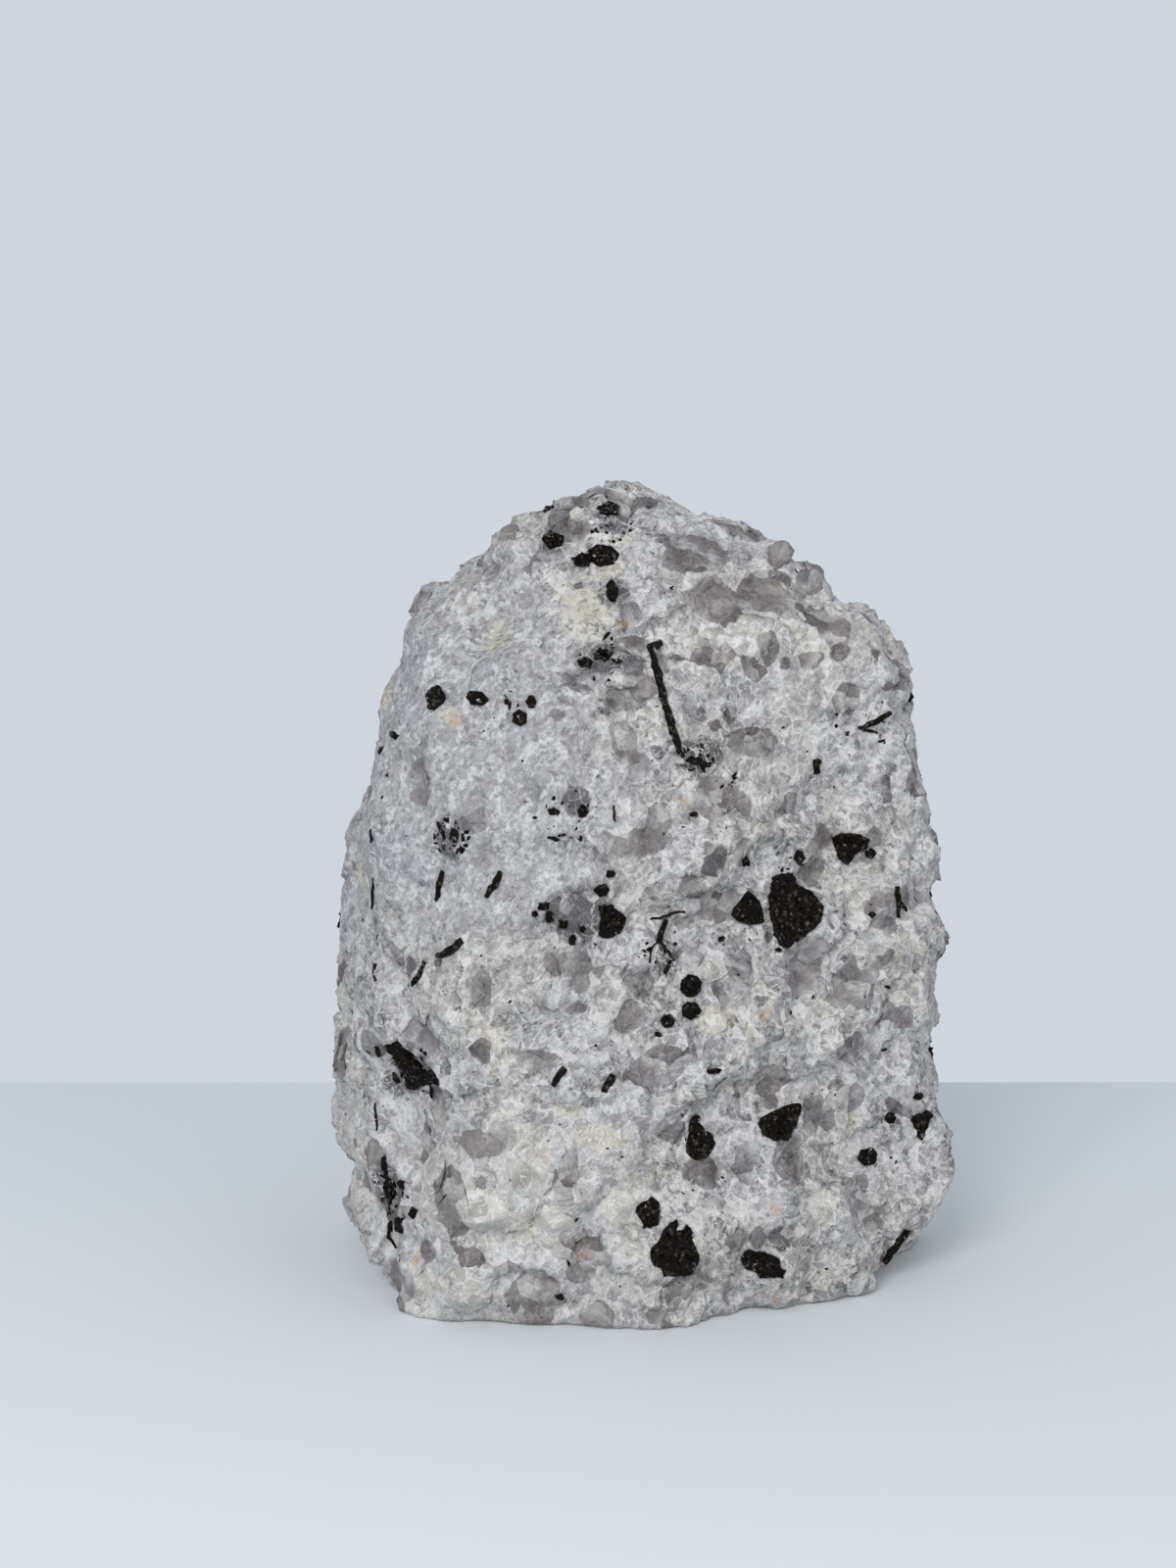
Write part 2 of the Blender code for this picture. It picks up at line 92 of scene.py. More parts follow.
# Glassy windows on the front: x, z, width, height.
WINDOWS = (
    (5.6, 82.8, 6.4, 4.4), (8.5, 77.6, 6, 4), (14.2, 77.6, 6, 5), (15, 82.5, 2.5, 2.5),
    (19, 79.5, 3.5, 2.5), (13.5, 72.5, 2, 3), (18.5, 71, 2.5, 2), (7, 71, 3, 3), (-5, 70, 3.5, 4),
    (-1, 70, 2, 4), (-14.5, 85, 2, 2), (-11, 82, 2, 1.5), (-9.5, 86, 2, 2.5), (-16.2, 80.5, 2.6, 2),
    (-7, 85, 2.6, 2.4), (-2.5, 67.5, 3.5, 2.2), (0.2, 68.4, 2.5, 2.5), (-7, 69.2, 3.2, 2.5),
    (-1.2, 72.8, 3.5, 2), (-1, 76, 2.4, 2.6), (-9, 66, 2, 1.6), (-7.5, 45.5, 4, 4), (-9, 41, 2.5, 3.5),
    (-6.5, 39.5, 3, 4), (-17, 37, 2, 3.5), (-24.5, 31, 2, 3.5), (-11, 30, 4, 2), (-1, 38.5, 2.5, 2),
    (-7.5, 35.5, 1.5, 1.5), (7.5, 50.5, 3, 3.5), (5, 47.5, 2.5, 2.5), (19.5, 50.5, 3.5, 3),
    (-0.5, 38, 3.5, 3), (-1.5, 33.5, 2.5, 2), (23, 28.5, 3.5, 3), (14, 25.5, 5, 3.5), (30, 21, 4, 3),
    (27, 43, 3.5, 3), (-21, 23.8, 4.2, 4.5), (-18, 20.5, 6, 2), (-20.5, 15, 3.5, 4.5), (-8, 18, 2.5, 5),
    (-12, 3.5, 5.5, 5.5), (-7, 9, 5.5, 2.5), (-6.5, 6.5, 2.5, 2.5), (-23, 7.5, 2.5, 2), (14, 23, 2, 1.5),
    (19, 22, 2.5, 5), (16, 16.5, 3, 5), (11, 17, 2, 4), (3.5, 21, 3.5, 2), (6.5, 16.5, 3.5, 3.5),
    (15.5, 9, 2.5, 2), (4.5, 5, 4.5, 3), (1.5, 2, 2, 2), (26, 8.5, 2.5, 3.5), (20.5, 11.5, 2, 1.5),
    (10, 9.5, 3, 3), (-0.5, 60, 2.5, 3), (-14.5, 62, 3, 2), (-2, 63.5, 3, 4), (11.5, 62.5, 5.5, 3),
    (22.5, 66.5, 3, 3), (-3.5, 52, 4, 3), (-17.5, 55, 3, 3), (1.5, 28.5, 6, 4), (18, 38.5, 4.5, 4.5),
    (23.5, 35.5, 4.5, 4.5), (10, 37, 4, 4),
)
# Cream patches on the front: x, z, width, height.
CREAMS = (
    (-6, 77, 7, 8.5), (-3.5, 80.5, 4, 4), (-15.5, 73, 3.5, 6), (-20.5, 66, 3, 2.5), (-1.5, 84, 4, 1.5),
    (11.5, 31.5, 1.5, 2.5), (9.5, 25, 2.5, 2.5), (-4.5, 21.5, 7, 3.5), (8, 33, 6.5, 4), (-16, 32.5, 4, 3),
    (-8, 24.5, 4, 2.5), (-23.5, 4, 3, 4), (23.5, 19.5, 2, 3.5), (-12.5, 12, 4, 4),
)
# Rusty stains on the front: x, z.
STAINS = (
    (13.5, 33.5), (-2, 75), (-24.5, 6), (-22, 5), (-6.5, 8.5), (-10, 19.5), (15, 1.5), (14.5, 12),
    (23, 12.5), (-20, 65), (4.5, 56.5),
)
STAIN_SIZE = 2.4
# The flat cuts round a glassy window: how many, how near they are, and how much of its round shape stays.
PATCH_CUTS = 7
CUT_REACH = (0.8, 1.2)
CUT_ROUND = 0.74
# Pushes that bring the outline nearer to the photograph's: x, z, reach, and how far along x and up.
PUSHES = (
    (-19.3, 83.0, 3.5, 0.6, -1.2), (-14.5, 87.0, 2.6, 0.3, -1.2), (-11.6, 89.0, 2.4, 0.0, -1.8),
    (-2.2, 90.0, 4.0, 0.0, 0.9), (6.0, 88.5, 2.2, 0.0, -0.8), (17.9, 83.6, 1.6, 0.0, -1.8),
    (23.2, 78.5, 2.2, -0.6, -1.2), (29.5, 71.5, 3.5, 0.6, 0.0), (33.0, 44.0, 4.0, 0.8, 0.0),
    (33.0, 37.5, 5.0, 1.6, 0.0), (33.0, 10.5, 5.0, 1.2, 0.0), (-33.5, 23.0, 7.0, -0.8, 0.0),
    (-32.0, 8.5, 5.5, 1.3, 0.0), (-22.6, 80.0, 2.4, 0.9, -1.0), (-7.5, 89.5, 1.2, 0.0, -0.8),
    (9.1, 86.2, 1.4, 0.0, 0.7), (16.8, 82.3, 1.3, 0.0, -0.7), (20.6, 80.2, 1.3, 0.0, 0.9),
    (23.1, 77.6, 1.5, 0.0, -0.7), (25.4, 76.0, 2.2, -0.7, -0.6), (28.2, 73.0, 1.8, -0.6, -0.4),
    (29.6, 67.0, 3.0, 0.8, 0.0), (32.0, 22.4, 2.0, 1.0, 0.0), (33.5, 18.8, 2.0, -0.7, 0.0),
    (33.0, 13.8, 2.0, -0.8, 0.0), (31.5, 6.5, 2.5, 1.0, 0.0), (-33.5, 16.8, 3.0, -0.6, 0.0),
    (-32.0, 10.5, 2.5, 0.8, 0.0),
)
# Large crystals with smooth faces, by side: across, up, width, height, how far they stand out, glassy, tone.
DOMES = {
    "front": (
        (-16.9, 13.2, 6.4, 5.8, 1.7, False, 0.3), (-12.3, 17.6, 5.6, 6.0, 1.7, False, 0.45),
        (-9.4, 12.0, 5.0, 5.6, 1.1, False, 0.15), (-2.5, 13.6, 4.6, 4.2, 1.1, False, 0.1),
        (-19.0, 4.2, 6.4, 5.8, 1.4, False, 0.6), (7.6, 38.2, 3.3, 2.6, 0.8, False, 0.05),
        (7.8, 32.6, 3.0, 2.8, 0.4, False, 0.5), (20.0, 11.4, 5.0, 4.2, 0.5, False, 0.1),
        (15.4, 82.2, 3.0, 3.0, 2.0, True, 0.6), (-14.6, 84.6, 2.6, 2.6, 0.8, True, 0.4),
        (-17.5, 20.7, 5.4, 3.0, 0.5, True, 0.0), (14.5, 77.5, 5.2, 4.6, 0.4, True, 0.3),
        (8.4, 77.4, 4.8, 3.8, 0.3, True, 0.4),
    ),
    "back": (
        (6.0, 30.0, 5.0, 4.4, 0.7, False, 0.2), (-12.0, 46.0, 4.6, 5.2, 0.6, False, 0.4),
        (-6.0, 14.0, 5.6, 4.6, 0.8, True, 0.2), (8.0, 60.0, 4.2, 3.6, 0.5, True, 0.4),
    ),
    "left": (
        (2.0, 30.0, 4.4, 4.0, 0.5, False, 0.2), (8.0, 48.0, 3.8, 3.2, 0.4, True, 0.3),
    ),
    "right": (
        (6.0, 30.0, 4.6, 4.2, 0.6, False, 0.3), (10.0, 60.0, 3.6, 4.0, 0.5, True, 0.3),
    ),
    "top": (
        (4.0, 2.0, 3.4, 3.0, 0.5, False, 0.2),
    ),
}
# The rings of a large crystal, as shares of its outline, and how calm it is at its rim and inside.
DOME_RINGS = (1.0, 0.9, 0.72, 0.5, 0.25)
DOME_RIM = 0.8
DOME_CALM = 1.1
# How closely its rim is set with points, how far each may be off, and how far the rim is tucked in.
DOME_SPACING = 0.5
DOME_JAG = 0.06
DOME_TUCK = 0.25
# Clusters of black splinters: x, z, radius and how many.
SWARMS = (
    (-7.8, 55.6, 3.0, 24), (-3.4, 86.3, 2.6, 26), (-20.3, 52.8, 2.0, 34), (-4.2, 71.6, 2.6, 20),
    (2.3, 40.6, 2.2, 16), (9.1, 58.6, 1.2, 10), (6.0, 61.4, 1.7, 26), (-13.7, 67.2, 1.4, 5),
    (-27.5, 12.0, 3.0, 20), (-24.5, 26.6, 3.0, 14), (17.3, 49.6, 2.6, 8), (25.0, 65.0, 4.0, 10),
)
# Quartz that fine tourmaline makes dark: x, z, width, height.
SOOT = (
    (-20.2, 52.8, 3.8, 4.2), (-7.0, 57.0, 2.6, 2.6), (6.2, 61.5, 5.0, 3.2), (-3.2, 78.7, 3.0, 3.6),
    (-6.9, 45.2, 5.8, 4.8), (-4.6, 71.8, 4.6, 3.0), (-1.4, 71.2, 2.8, 2.4), (-3.0, 86.0, 4.0, 3.0),
    (-9.6, 84.0, 3.4, 2.8), (-26.4, 25.4, 4.6, 4.6), (-23.4, 24.6, 3.4, 3.0), (2.6, 39.6, 2.6, 3.4),
    (-28.0, 12.5, 3.4, 5.5), (-24.6, 26.8, 5.6, 5.0), (15.3, 8.6, 2.8, 2.2), (8.0, 50.6, 2.4, 2.4),
    (-3.8, 66.6, 2.6, 1.6),
)

# Outlines of the large black crystals seen end on: the corners round each, across and up.
FLAP_CRYSTAL = (
    (-2.6, 3.9), (-1.7, 4.2), (-0.7, 4.2), (0.0, 3.8), (0.0, 3.2), (0.5, 2.8), (1.7, 2.2), (2.3, 1.4),
    (3.1, 0.4), (2.8, -1.0), (1.7, -2.0), (0.6, -2.8), (-0.2, -3.3), (-1.0, -3.8), (-1.6, -3.4), (-2.2, -2.2),
    (-2.3, -1.1), (-2.6, -0.2), (-3.0, 1.9), (-2.8, 3.1),
)
SHIELD_CRYSTAL = (
    (0.1, 2.1), (0.65, 1.6), (1.3, 0.75), (1.6, -0.45), (1.7, -1.3), (1.4, -1.7), (0.2, -1.6), (-0.45, -1.45),
    (-1.2, -1.1), (-1.75, -0.6), (-1.5, 0.3), (-1.0, 0.65), (-0.45, 1.5),
)
CUT_CRYSTAL = (
    (-1.35, 1.6), (-0.75, 1.4), (0.1, 1.65), (0.2, 1.25), (0.95, 0.75), (1.55, 0.1), (1.35, -0.75),
    (0.8, -1.5), (0.0, -1.9), (-1.0, -1.9), (-1.3, -1.4), (-1.1, -0.1), (-1.2, 0.95),
)
BROAD_CRYSTAL = (
    (0.4, 2.95), (0.5, 2.5), (0.3, 2.0), (0.9, 1.75), (1.5, 2.35), (1.95, 1.75), (2.1, 0.8), (2.4, 0.1),
    (2.8, -0.9), (2.55, -1.6), (1.95, -2.4), (0.9, -2.4), (-0.1, -2.3), (-0.9, -2.3), (-1.3, -1.5),
    (-2.0, -1.25), (-2.4, -0.65), (-2.3, 0.3), (-1.4, 1.3), (-1.05, 2.0), (-0.3, 2.6),
)
ROUND_CRYSTAL = (
    (-1.3, 0.2), (-0.6, 1.1), (0.45, 1.6), (1.15, 1.0), (1.35, 0.0), (1.1, -0.8), (1.1, -1.4), (0.15, -1.65),
    (-0.65, -1.65), (-0.45, -1.05), (-1.05, -0.35),
)
LONG_CRYSTAL = (
    (-2.3, 0.6), (-2.0, 1.35), (-1.2, 1.6), (-0.5, 1.2), (0.5, 1.1), (1.8, 0.4), (2.0, -0.6), (2.55, -1.0),
    (2.3, -1.75), (1.0, -1.6), (-0.25, -1.65), (-0.5, -1.1), (-1.35, -0.7), (-1.85, -0.6), (-2.2, 0.0),
)
DROP_CRYSTAL = (
    (-0.7, 2.2), (-0.25, 2.4), (0.1, 2.05), (0.0, 1.5), (0.4, 1.15), (0.55, 0.65), (1.0, 0.6), (1.5, 0.05),
    (1.7, -0.8), (1.4, -1.4), (0.8, -2.0), (-0.1, -2.25), (-0.7, -1.95), (-1.3, -1.35), (-1.4, -0.55),
    (-1.15, 0.65), (-1.0, 1.5),
)
WING_CRYSTAL = (
    (-2.45, -0.1), (-1.95, 0.6), (-0.6, 1.1), (0.5, 1.5), (1.5, 1.65), (2.35, 1.45), (2.1, 0.45), (1.6, -0.8),
    (1.1, -1.35), (1.05, -1.75), (0.65, -2.05), (0.0, -1.9), (-0.85, -1.95), (-1.45, -1.4), (-2.1, -1.4),
    (-2.15, -0.65),
)
POINTED_CRYSTAL = (
    (-2.0, 1.4), (-0.8, 1.9), (1.0, 1.8), (2.2, 1.2), (1.9, 0.2), (0.8, -0.2), (-0.2, -1.7), (-1.2, -1.0),
    (-1.6, 0.2),
)
HOLLOW_CRYSTAL = (
    (-3.0, 2.8), (-1.8, 2.8), (-1.15, 1.95), (-0.45, 1.1), (0.4, 0.4), (0.85, 0.0), (1.9, 0.3), (2.5, -0.4),
    (2.75, -1.3), (2.2, -1.3), (1.9, -0.65), (1.2, -1.3), (0.4, -1.75), (-0.1, -2.2), (-1.0, -2.2),
    (-1.1, -1.3), (-1.3, -0.1), (-1.7, 0.4), (-2.3, 1.5), (-2.9, 1.9),
)
# Where those crystals are, by side: across, up, outline, turn in degrees and scale.
OUTLINED = {
    "front": (
        (16.9, 43.7, FLAP_CRYSTAL, 0, 1.0), (11.6, 44.2, SHIELD_CRYSTAL, 0, 1.0),
        (-3.3, 44.4, CUT_CRYSTAL, 0, 1.0), (3.3, 9.0, BROAD_CRYSTAL, 0, 1.0),
        (0.6, 12.8, ROUND_CRYSTAL, 0, 1.0), (13.1, 6.2, LONG_CRYSTAL, 0, 1.0),
        (6.2, 20.1, DROP_CRYSTAL, 0, 1.0), (15.3, 21.0, WING_CRYSTAL, 0, 1.0),
        (23.0, 50.0, POINTED_CRYSTAL, 0, 1.0), (-24.6, 26.6, HOLLOW_CRYSTAL, 0, 1.15),
    ),
    "back": (
        (-14.0, 60.0, CUT_CRYSTAL, 40, 1.2), (12.0, 44.0, FLAP_CRYSTAL, 110, 0.7),
        (-20.0, 24.0, SHIELD_CRYSTAL, 200, 0.8), (4.0, 20.0, DROP_CRYSTAL, 170, 1.2),
    ),
    "left": (
        (6.0, 40.0, WING_CRYSTAL, 60, 0.75), (4.0, 14.0, ROUND_CRYSTAL, 20, 1.1),
    ),
    "right": (
        (12.0, 36.0, BROAD_CRYSTAL, 130, 0.8), (6.0, 54.0, POINTED_CRYSTAL, 70, 0.7),
    ),
    "top": (
        (2.0, 15.0, SHIELD_CRYSTAL, 45, 0.8),
    ),
}
# Smaller black crystals seen end on, by side: across, up, width, height, corners and turn in degrees.
SMALL = {
    "front": (
        (-22.2, 67.3, 2.1, 2.4, 7, 20), (-17.6, 67.5, 2.4, 1.4, 6, 0), (-13.0, 65.6, 1.5, 1.7, 6, 30),
        (-11.8, 67.2, 1.1, 1.2, 6, 0), (-14.3, 67.2, 0.6, 0.6, 5, 0), (-4.2, 82.3, 3.6, 2.3, 7, 8),
        (-6.4, 81.9, 2.2, 1.5, 5, 20), (-9.7, 84.0, 2.4, 1.9, 5, 30), (-10.2, 87.3, 1.3, 1.1, 5, 50),
        (-3.5, 87.4, 2.6, 1.5, 5, 20), (-3.2, 78.7, 1.3, 2.2, 5, 10), (-4.2, 72.0, 2.0, 1.1, 4, 25),
        (-6.2, 71.2, 1.6, 1.1, 5, 25), (5.2, 36.9, 2.3, 2.4, 8, 15), (5.3, 34.2, 2.0, 1.9, 7, 0),
        (2.7, 33.5, 1.5, 1.4, 6, 0), (1.7, 32.0, 0.6, 0.5, 5, 0), (25.5, 15.4, 2.2, 1.9, 6, 10),
        (31.8, 17.8, 2.7, 3.3, 3, -90), (28.1, 19.5, 1.2, 1.2, 6, 0), (31.6, 21.5, 0.9, 0.9, 5, 0),
        (25.4, 49.6, 1.2, 1.1, 5, 0), (17.3, 49.6, 1.0, 1.6, 7, 0), (11.1, 49.7, 1.0, 1.0, 6, 0),
        (25.6, 42.7, 1.1, 0.8, 5, 0), (-10.4, 46.2, 1.2, 0.8, 4, 40), (-11.3, 45.4, 0.7, 0.6, 5, 0),
        (-9.8, 45.0, 0.7, 1.2, 4, -30), (-8.5, 44.3, 0.9, 0.8, 4, 45), (-6.3, 43.7, 0.6, 0.7, 5, 0),
        (-7.4, 42.8, 0.8, 1.1, 5, 20), (-4.3, 47.6, 1.6, 1.2, 6, 0), (-3.4, 49.3, 1.0, 0.7, 6, 0),
        (15.0, 39.6, 0.6, 0.5, 5, 0), (8.6, 41.4, 0.6, 0.6, 5, 0), (5.5, 55.2, 0.7, 0.6, 5, 0),
        (-9.4, 56.1, 0.9, 0.8, 5, 0), (-6.3, 56.0, 1.0, 1.3, 5, 20), (-8.8, 3.6, 0.9, 0.6, 5, 0),
        (-28.4, 60.8, 0.8, 1.1, 5, 0), (-26.9, 63.0, 0.8, 0.8, 5, 0), (19.2, 59.4, 0.7, 1.6, 4, 45),
        (-28.2, 15.2, 1.1, 1.8, 5, 10), (-27.8, 12.6, 1.5, 2.2, 6, 0), (-26.3, 13.7, 0.8, 0.8, 6, 0),
        (-26.6, 8.5, 1.2, 1.8, 4, 45), (-24.9, 11.4, 0.8, 1.3, 4, 20), (-20.0, 53.2, 1.0, 1.6, 4, 30),
        (7.9, 27.7, 1.6, 0.6, 5, 0),
    ),
    "back": (
        (8.0, 70.0, 2.4, 2.0, 7, 0), (-8.0, 34.0, 2.4, 2.6, 7, 10), (18.0, 28.0, 2.0, 2.2, 6, 25),
        (-4.0, 66.0, 1.2, 1.4, 6, 0), (-18.0, 36.0, 1.4, 1.2, 5, 0), (16.0, 60.0, 1.6, 1.2, 6, 0),
        (0.0, 30.0, 1.0, 1.1, 5, 0), (22.0, 48.0, 1.5, 1.9, 6, 0),
    ),
    "left": (
        (12.0, 60.0, 2.0, 2.4, 7, 0), (-2.0, 52.0, 1.2, 1.4, 6, 0), (12.0, 22.0, 1.6, 1.3, 6, 0),
    ),
    "right": (
        (2.0, 24.0, 2.2, 1.9, 7, 0), (14.0, 18.0, 1.8, 2.2, 6, 0), (0.0, 66.0, 1.4, 1.2, 5, 0),
    ),
    "top": (
        (3.0, 6.0, 2.2, 1.9, 7, 0), (-8.0, 4.0, 1.5, 1.8, 6, 0),
    ),
}
# Needles that lie along the surface, by side: thickness at the middle, and the points along it.
NEEDLES = {
    "front": (
        (1.05, (0.8, 72.9), (1.2, 71.2), (2.2, 67.6), (3.2, 63.8), (4.0, 61.7)),
        (0.9, (0.6, 72.4), (1.9, 73.1)), (0.9, (4.0, 61.7), (5.4, 61.0), (7.0, 60.6)),
        (0.7, (23.8, 63.4), (25.6, 64.0), (27.4, 65.0)), (0.4, (24.4, 63.2), (26.0, 62.8)),
        (0.7, (-21.2, 49.2), (-21.6, 47.6), (-21.9, 45.8)),
        (0.9, (-14.9, 49.5), (-15.6, 48.4), (-16.4, 47.0)),
        (0.9, (-21.8, 40.2), (-20.4, 41.0), (-19.0, 42.4)),
        (0.8, (-23.1, 39.4), (-23.8, 38.0), (-24.6, 36.6)), (0.9, (-8.3, 29.4), (-9.4, 27.6)),
        (0.9, (-3.1, 28.3), (-4.1, 26.5)), (0.8, (2.4, 43.8), (2.0, 42.6), (1.7, 41.4)),
        (0.35, (1.7, 41.6), (0.9, 41.2), (0.7, 39.6)), (0.35, (1.8, 41.6), (2.6, 40.6), (3.4, 39.4)),
        (0.6, (3.0, 39.6), (2.4, 38.2)), (0.35, (0.7, 44.0), (2.4, 44.1), (3.4, 44.6), (4.6, 44.7)),
        (0.6, (28.5, 45.8), (28.7, 42.2)), (0.4, (28.9, 44.0), (29.6, 42.8)),
        (1.1, (27.6, 2.6), (29.0, 4.4), (30.3, 6.6)), (0.5, (-21.7, 54.4), (-20.9, 52.8)),
        (0.3, (-3.1, 56.6), (-3.0, 54.8)), (0.35, (-29.2, 53.0), (-29.3, 51.4)),
        (0.45, (-29.3, 47.0), (-29.4, 43.8)), (0.8, (-28.2, 14.8), (-27.9, 13.2)),
        (0.45, (-27.8, 11.8), (-27.6, 9.2)), (0.4, (-27.9, 8.0), (-28.2, 6.4), (-27.2, 5.2)),
        (0.4, (-22.9, 25.4), (-22.8, 23.2)), (0.5, (-26.6, 27.0), (-26.2, 25.0)),
        (0.45, (-25.9, 25.2), (-25.4, 23.9)), (0.7, (-27.3, 25.2), (-26.7, 24.1)),
        (0.6, (-29.2, 28.4), (-29.0, 27.2)), (0.35, (-29.4, 21.6), (-29.3, 18.8)),
        (0.6, (-29.1, 37.8), (-28.9, 36.2)), (0.5, (-28.0, 9.6), (-27.8, 7.0)),
    ),
    "back": (
        (1.0, (-3.0, 54.0), (0.4, 50.2), (3.0, 46.0)), (0.9, (-20.0, 44.0), (-17.0, 40.0)),
        (0.6, (10.0, 34.0), (13.0, 31.0)),
    ),
    "left": (
        (1.0, (9.0, 28.0), (14.0, 33.0)),
    ),
    "right": (
        (0.9, (3.0, 45.0), (7.0, 40.0)),
    ),
    "top": (
        (0.7, (-2.0, 10.0), (2.0, 12.0)),
    ),
}
# The rings of a black crystal's end, as shares of its outline, how far it stands out and how deep it goes.
CRYSTAL_RINGS = (1.0, 0.93, 0.8, 0.64, 0.46, 0.26)
CRYSTAL_PROUD = 0.2
CRYSTAL_SINK = 1.8
# How closely its rim is set with points, how far each may be off, and how rough its end is.
CRYSTAL_SPACING = 0.26
CRYSTAL_JAG = 0.05
CRYSTAL_ROUGH = 0.09
# The room made for a crystal: how much larger than it, how near the stone must be, and how far it goes down.
ROOM_GROWTH = 1.02
ROOM_REACH = 2.5
ROOM_DROP = 0.5
# A needle's sides, how long a piece of it is, how often its girth changes and how far it is lifted.
NEEDLE_SIDES = 7
NEEDLE_STEP = 0.5
NEEDLE_KNOT = 1.5
NEEDLE_LIFT = 0.14
# How far a needle's course strays, and the shares by which its girth and its corners vary.
NEEDLE_STRAY = 0.05
NEEDLE_GIRTHS = (0.75, 1.12)
NEEDLE_CORNERS = (0.78, 1.2)
# Splinters: how many lie anywhere, their corners, how long they are drawn out and how uneven they are.
STRAY_SPLINTERS = 420
SPLINTER_CORNERS = 5
SPLINTER_STRETCH = (1.0, 2.6)
SPLINTER_REACH = (0.7, 1.3)
# The sizes of the swarms' splinters, and the smallest of the strays and how much larger they get.
SWARM_SIZES = (0.08, 0.3)
STRAY_SIZE = 0.09
STRAY_GROWTH = 0.16

# The direction of sight for each side, how far off it starts and how steep a surface may look from it.
LOOKS = {"front": (0, 1, 0), "back": (0, -1, 0), "left": (1, 0, 0), "right": (-1, 0, 0), "top": (0, 0, -1)}
FAR = 100.0
STEEPEST = 0.45


def by_side(rows_of):
    """The rows of a table by side, each with its side."""
    return [(side, row) for side, rows in rows_of.items() for row in rows]


def mesh_object(name, points, faces):
    """A new object whose mesh is given in millimetres, with nothing below the base."""
    data = bpy.data.meshes.new(name)
    data.from_pydata((np.maximum(points, LOWEST) * MM).tolist(), [], faces)
    made = bpy.data.objects.new(name, data)
    bpy.context.scene.collection.objects.link(made)
    return made


def apply_modifiers(made):
    """Replaces an object's mesh with the one that its modifiers give."""
    bpy.context.view_layer.update()
    graph = bpy.context.evaluated_depsgraph_get()
    made.data = bpy.data.meshes.new_from_object(made.evaluated_get(graph))
    made.modifiers.clear()


def points_of(mesh):
    points = np.empty(len(mesh.vertices) * 3)
    mesh.vertices.foreach_get("co", points)
    return points.reshape(-1, 3) / MM


def normals_of(mesh):
    normals = np.empty(len(mesh.vertices) * 3)
    mesh.vertex_normals.foreach_get("vector", normals)
    return normals.reshape(-1, 3)


def put_points(mesh, points):
    """Moves a mesh's points, none of them below the base."""
    mesh.vertices.foreach_set("co", (np.maximum(points, LOWEST) * MM).ravel())
    mesh.update()


def put_attributes(mesh, **columns):
    """Gives a mesh's points the numbers that the shader asks for by name."""
    for name, values in columns.items():
        made = mesh.attributes.new(name, "FLOAT", "POINT")
        made.data.foreach_set("value", np.asarray(values, np.float32))


def finder(points):
    """A quick way to the nearest of some points."""
    made = KDTree(len(points))
    for i, point in enumerate(points):
        made.insert(point, i)
    made.balance()
    return made


def unit_rows(rows):
    return rows / np.linalg.norm(rows, axis=1)[:, None]


def tree_of(mesh):
    """A ray target for a mesh, in millimetres."""
    polygons = [tuple(p.vertices) for p in mesh.polygons]
    return BVHTree.FromPolygons([Vector(p) for p in points_of(mesh)], polygons)


def sight(side, place):
    """Where a line of sight starts and which way it goes."""
    look = Vector(LOOKS[side])
    across, up = place
    if look.y:
        spot = Vector((across, 0.0, up))
    elif look.x:
        spot = Vector((0.0, across, up))
    else:
        spot = Vector((across, up, 0.0))
    return spot - look * FAR, look


def hit(tree, side, place):
    """The point and the normal that a line of sight meets, or None twice."""
    point, normal, _, _ = tree.ray_cast(*sight(side, place))
    return point, normal


def seat(tree, side, place, reach):
    """The middle and the mean normal of the surface around a place."""
    points, normals = [], []
    for angle in np.arange(8) * math.pi / 4:
        spot = (place[0] + reach * math.cos(angle), place[1] + reach * math.sin(angle))
        point, normal = hit(tree, side, spot)
        if point is not None:
            points.append(point)
            normals.append(normal)
    return sum(points, Vector()) / len(points), sum(normals, Vector()).normalized()


def view_axes(side, normal):
    """Across and up on a surface with this normal, drawn out so that they look true from a side."""
    across = Vector((0, 1, 0)) if side in ("left", "right") else Vector((1, 0, 0))
    up = Vector((0, 1, 0)) if side == "top" else Vector((0, 0, 1))
    look = Vector(LOOKS[side])
    facing = min(look.dot(normal), -STEEPEST)
    return across - look * (across.dot(normal) / facing), up - look * (up.dot(normal) / facing)


def warped(points, size, phase):
    """The points moved about a little, so that the cells are not straight-sided."""
    waves = np.sin(points[:, [1, 2, 0]] * (2 * math.pi / (2.3 * size)) + phase)
    waves += 0.5 * np.sin(points[:, [2, 0, 1]] * (2 * math.pi / (0.9 * size)) + 2 * phase)
    return points + FLAT_WARP * size * 0.5 * waves


def nearest_cells(points, size, random):
    """For each point: its cell's number, and its offset from the cell's middle."""
    low = points.min(axis=0) - 2 * size
    cell = np.floor((points - low) / size).astype(int)
    shape = tuple(cell.max(axis=0) + 3)
    jitter = random.uniform(0.05, 0.95, (*shape, 3))
    best = np.full(len(points), np.inf)
    number = np.zeros(len(points), int)
    middle = np.zeros_like(points)
    for step in itertools.product((-1, 0, 1), repeat=3):
        near = cell + step
        spot = low + (near + jitter[tuple(near.T)]) * size
        distance = np.linalg.norm(points - spot, axis=1)
        closer = distance < best
        number = np.where(closer, np.ravel_multi_index(near.T, shape), number)
        middle = np.where(closer[:, None], spot, middle)
        best = np.minimum(best, distance)
    return number, points - middle


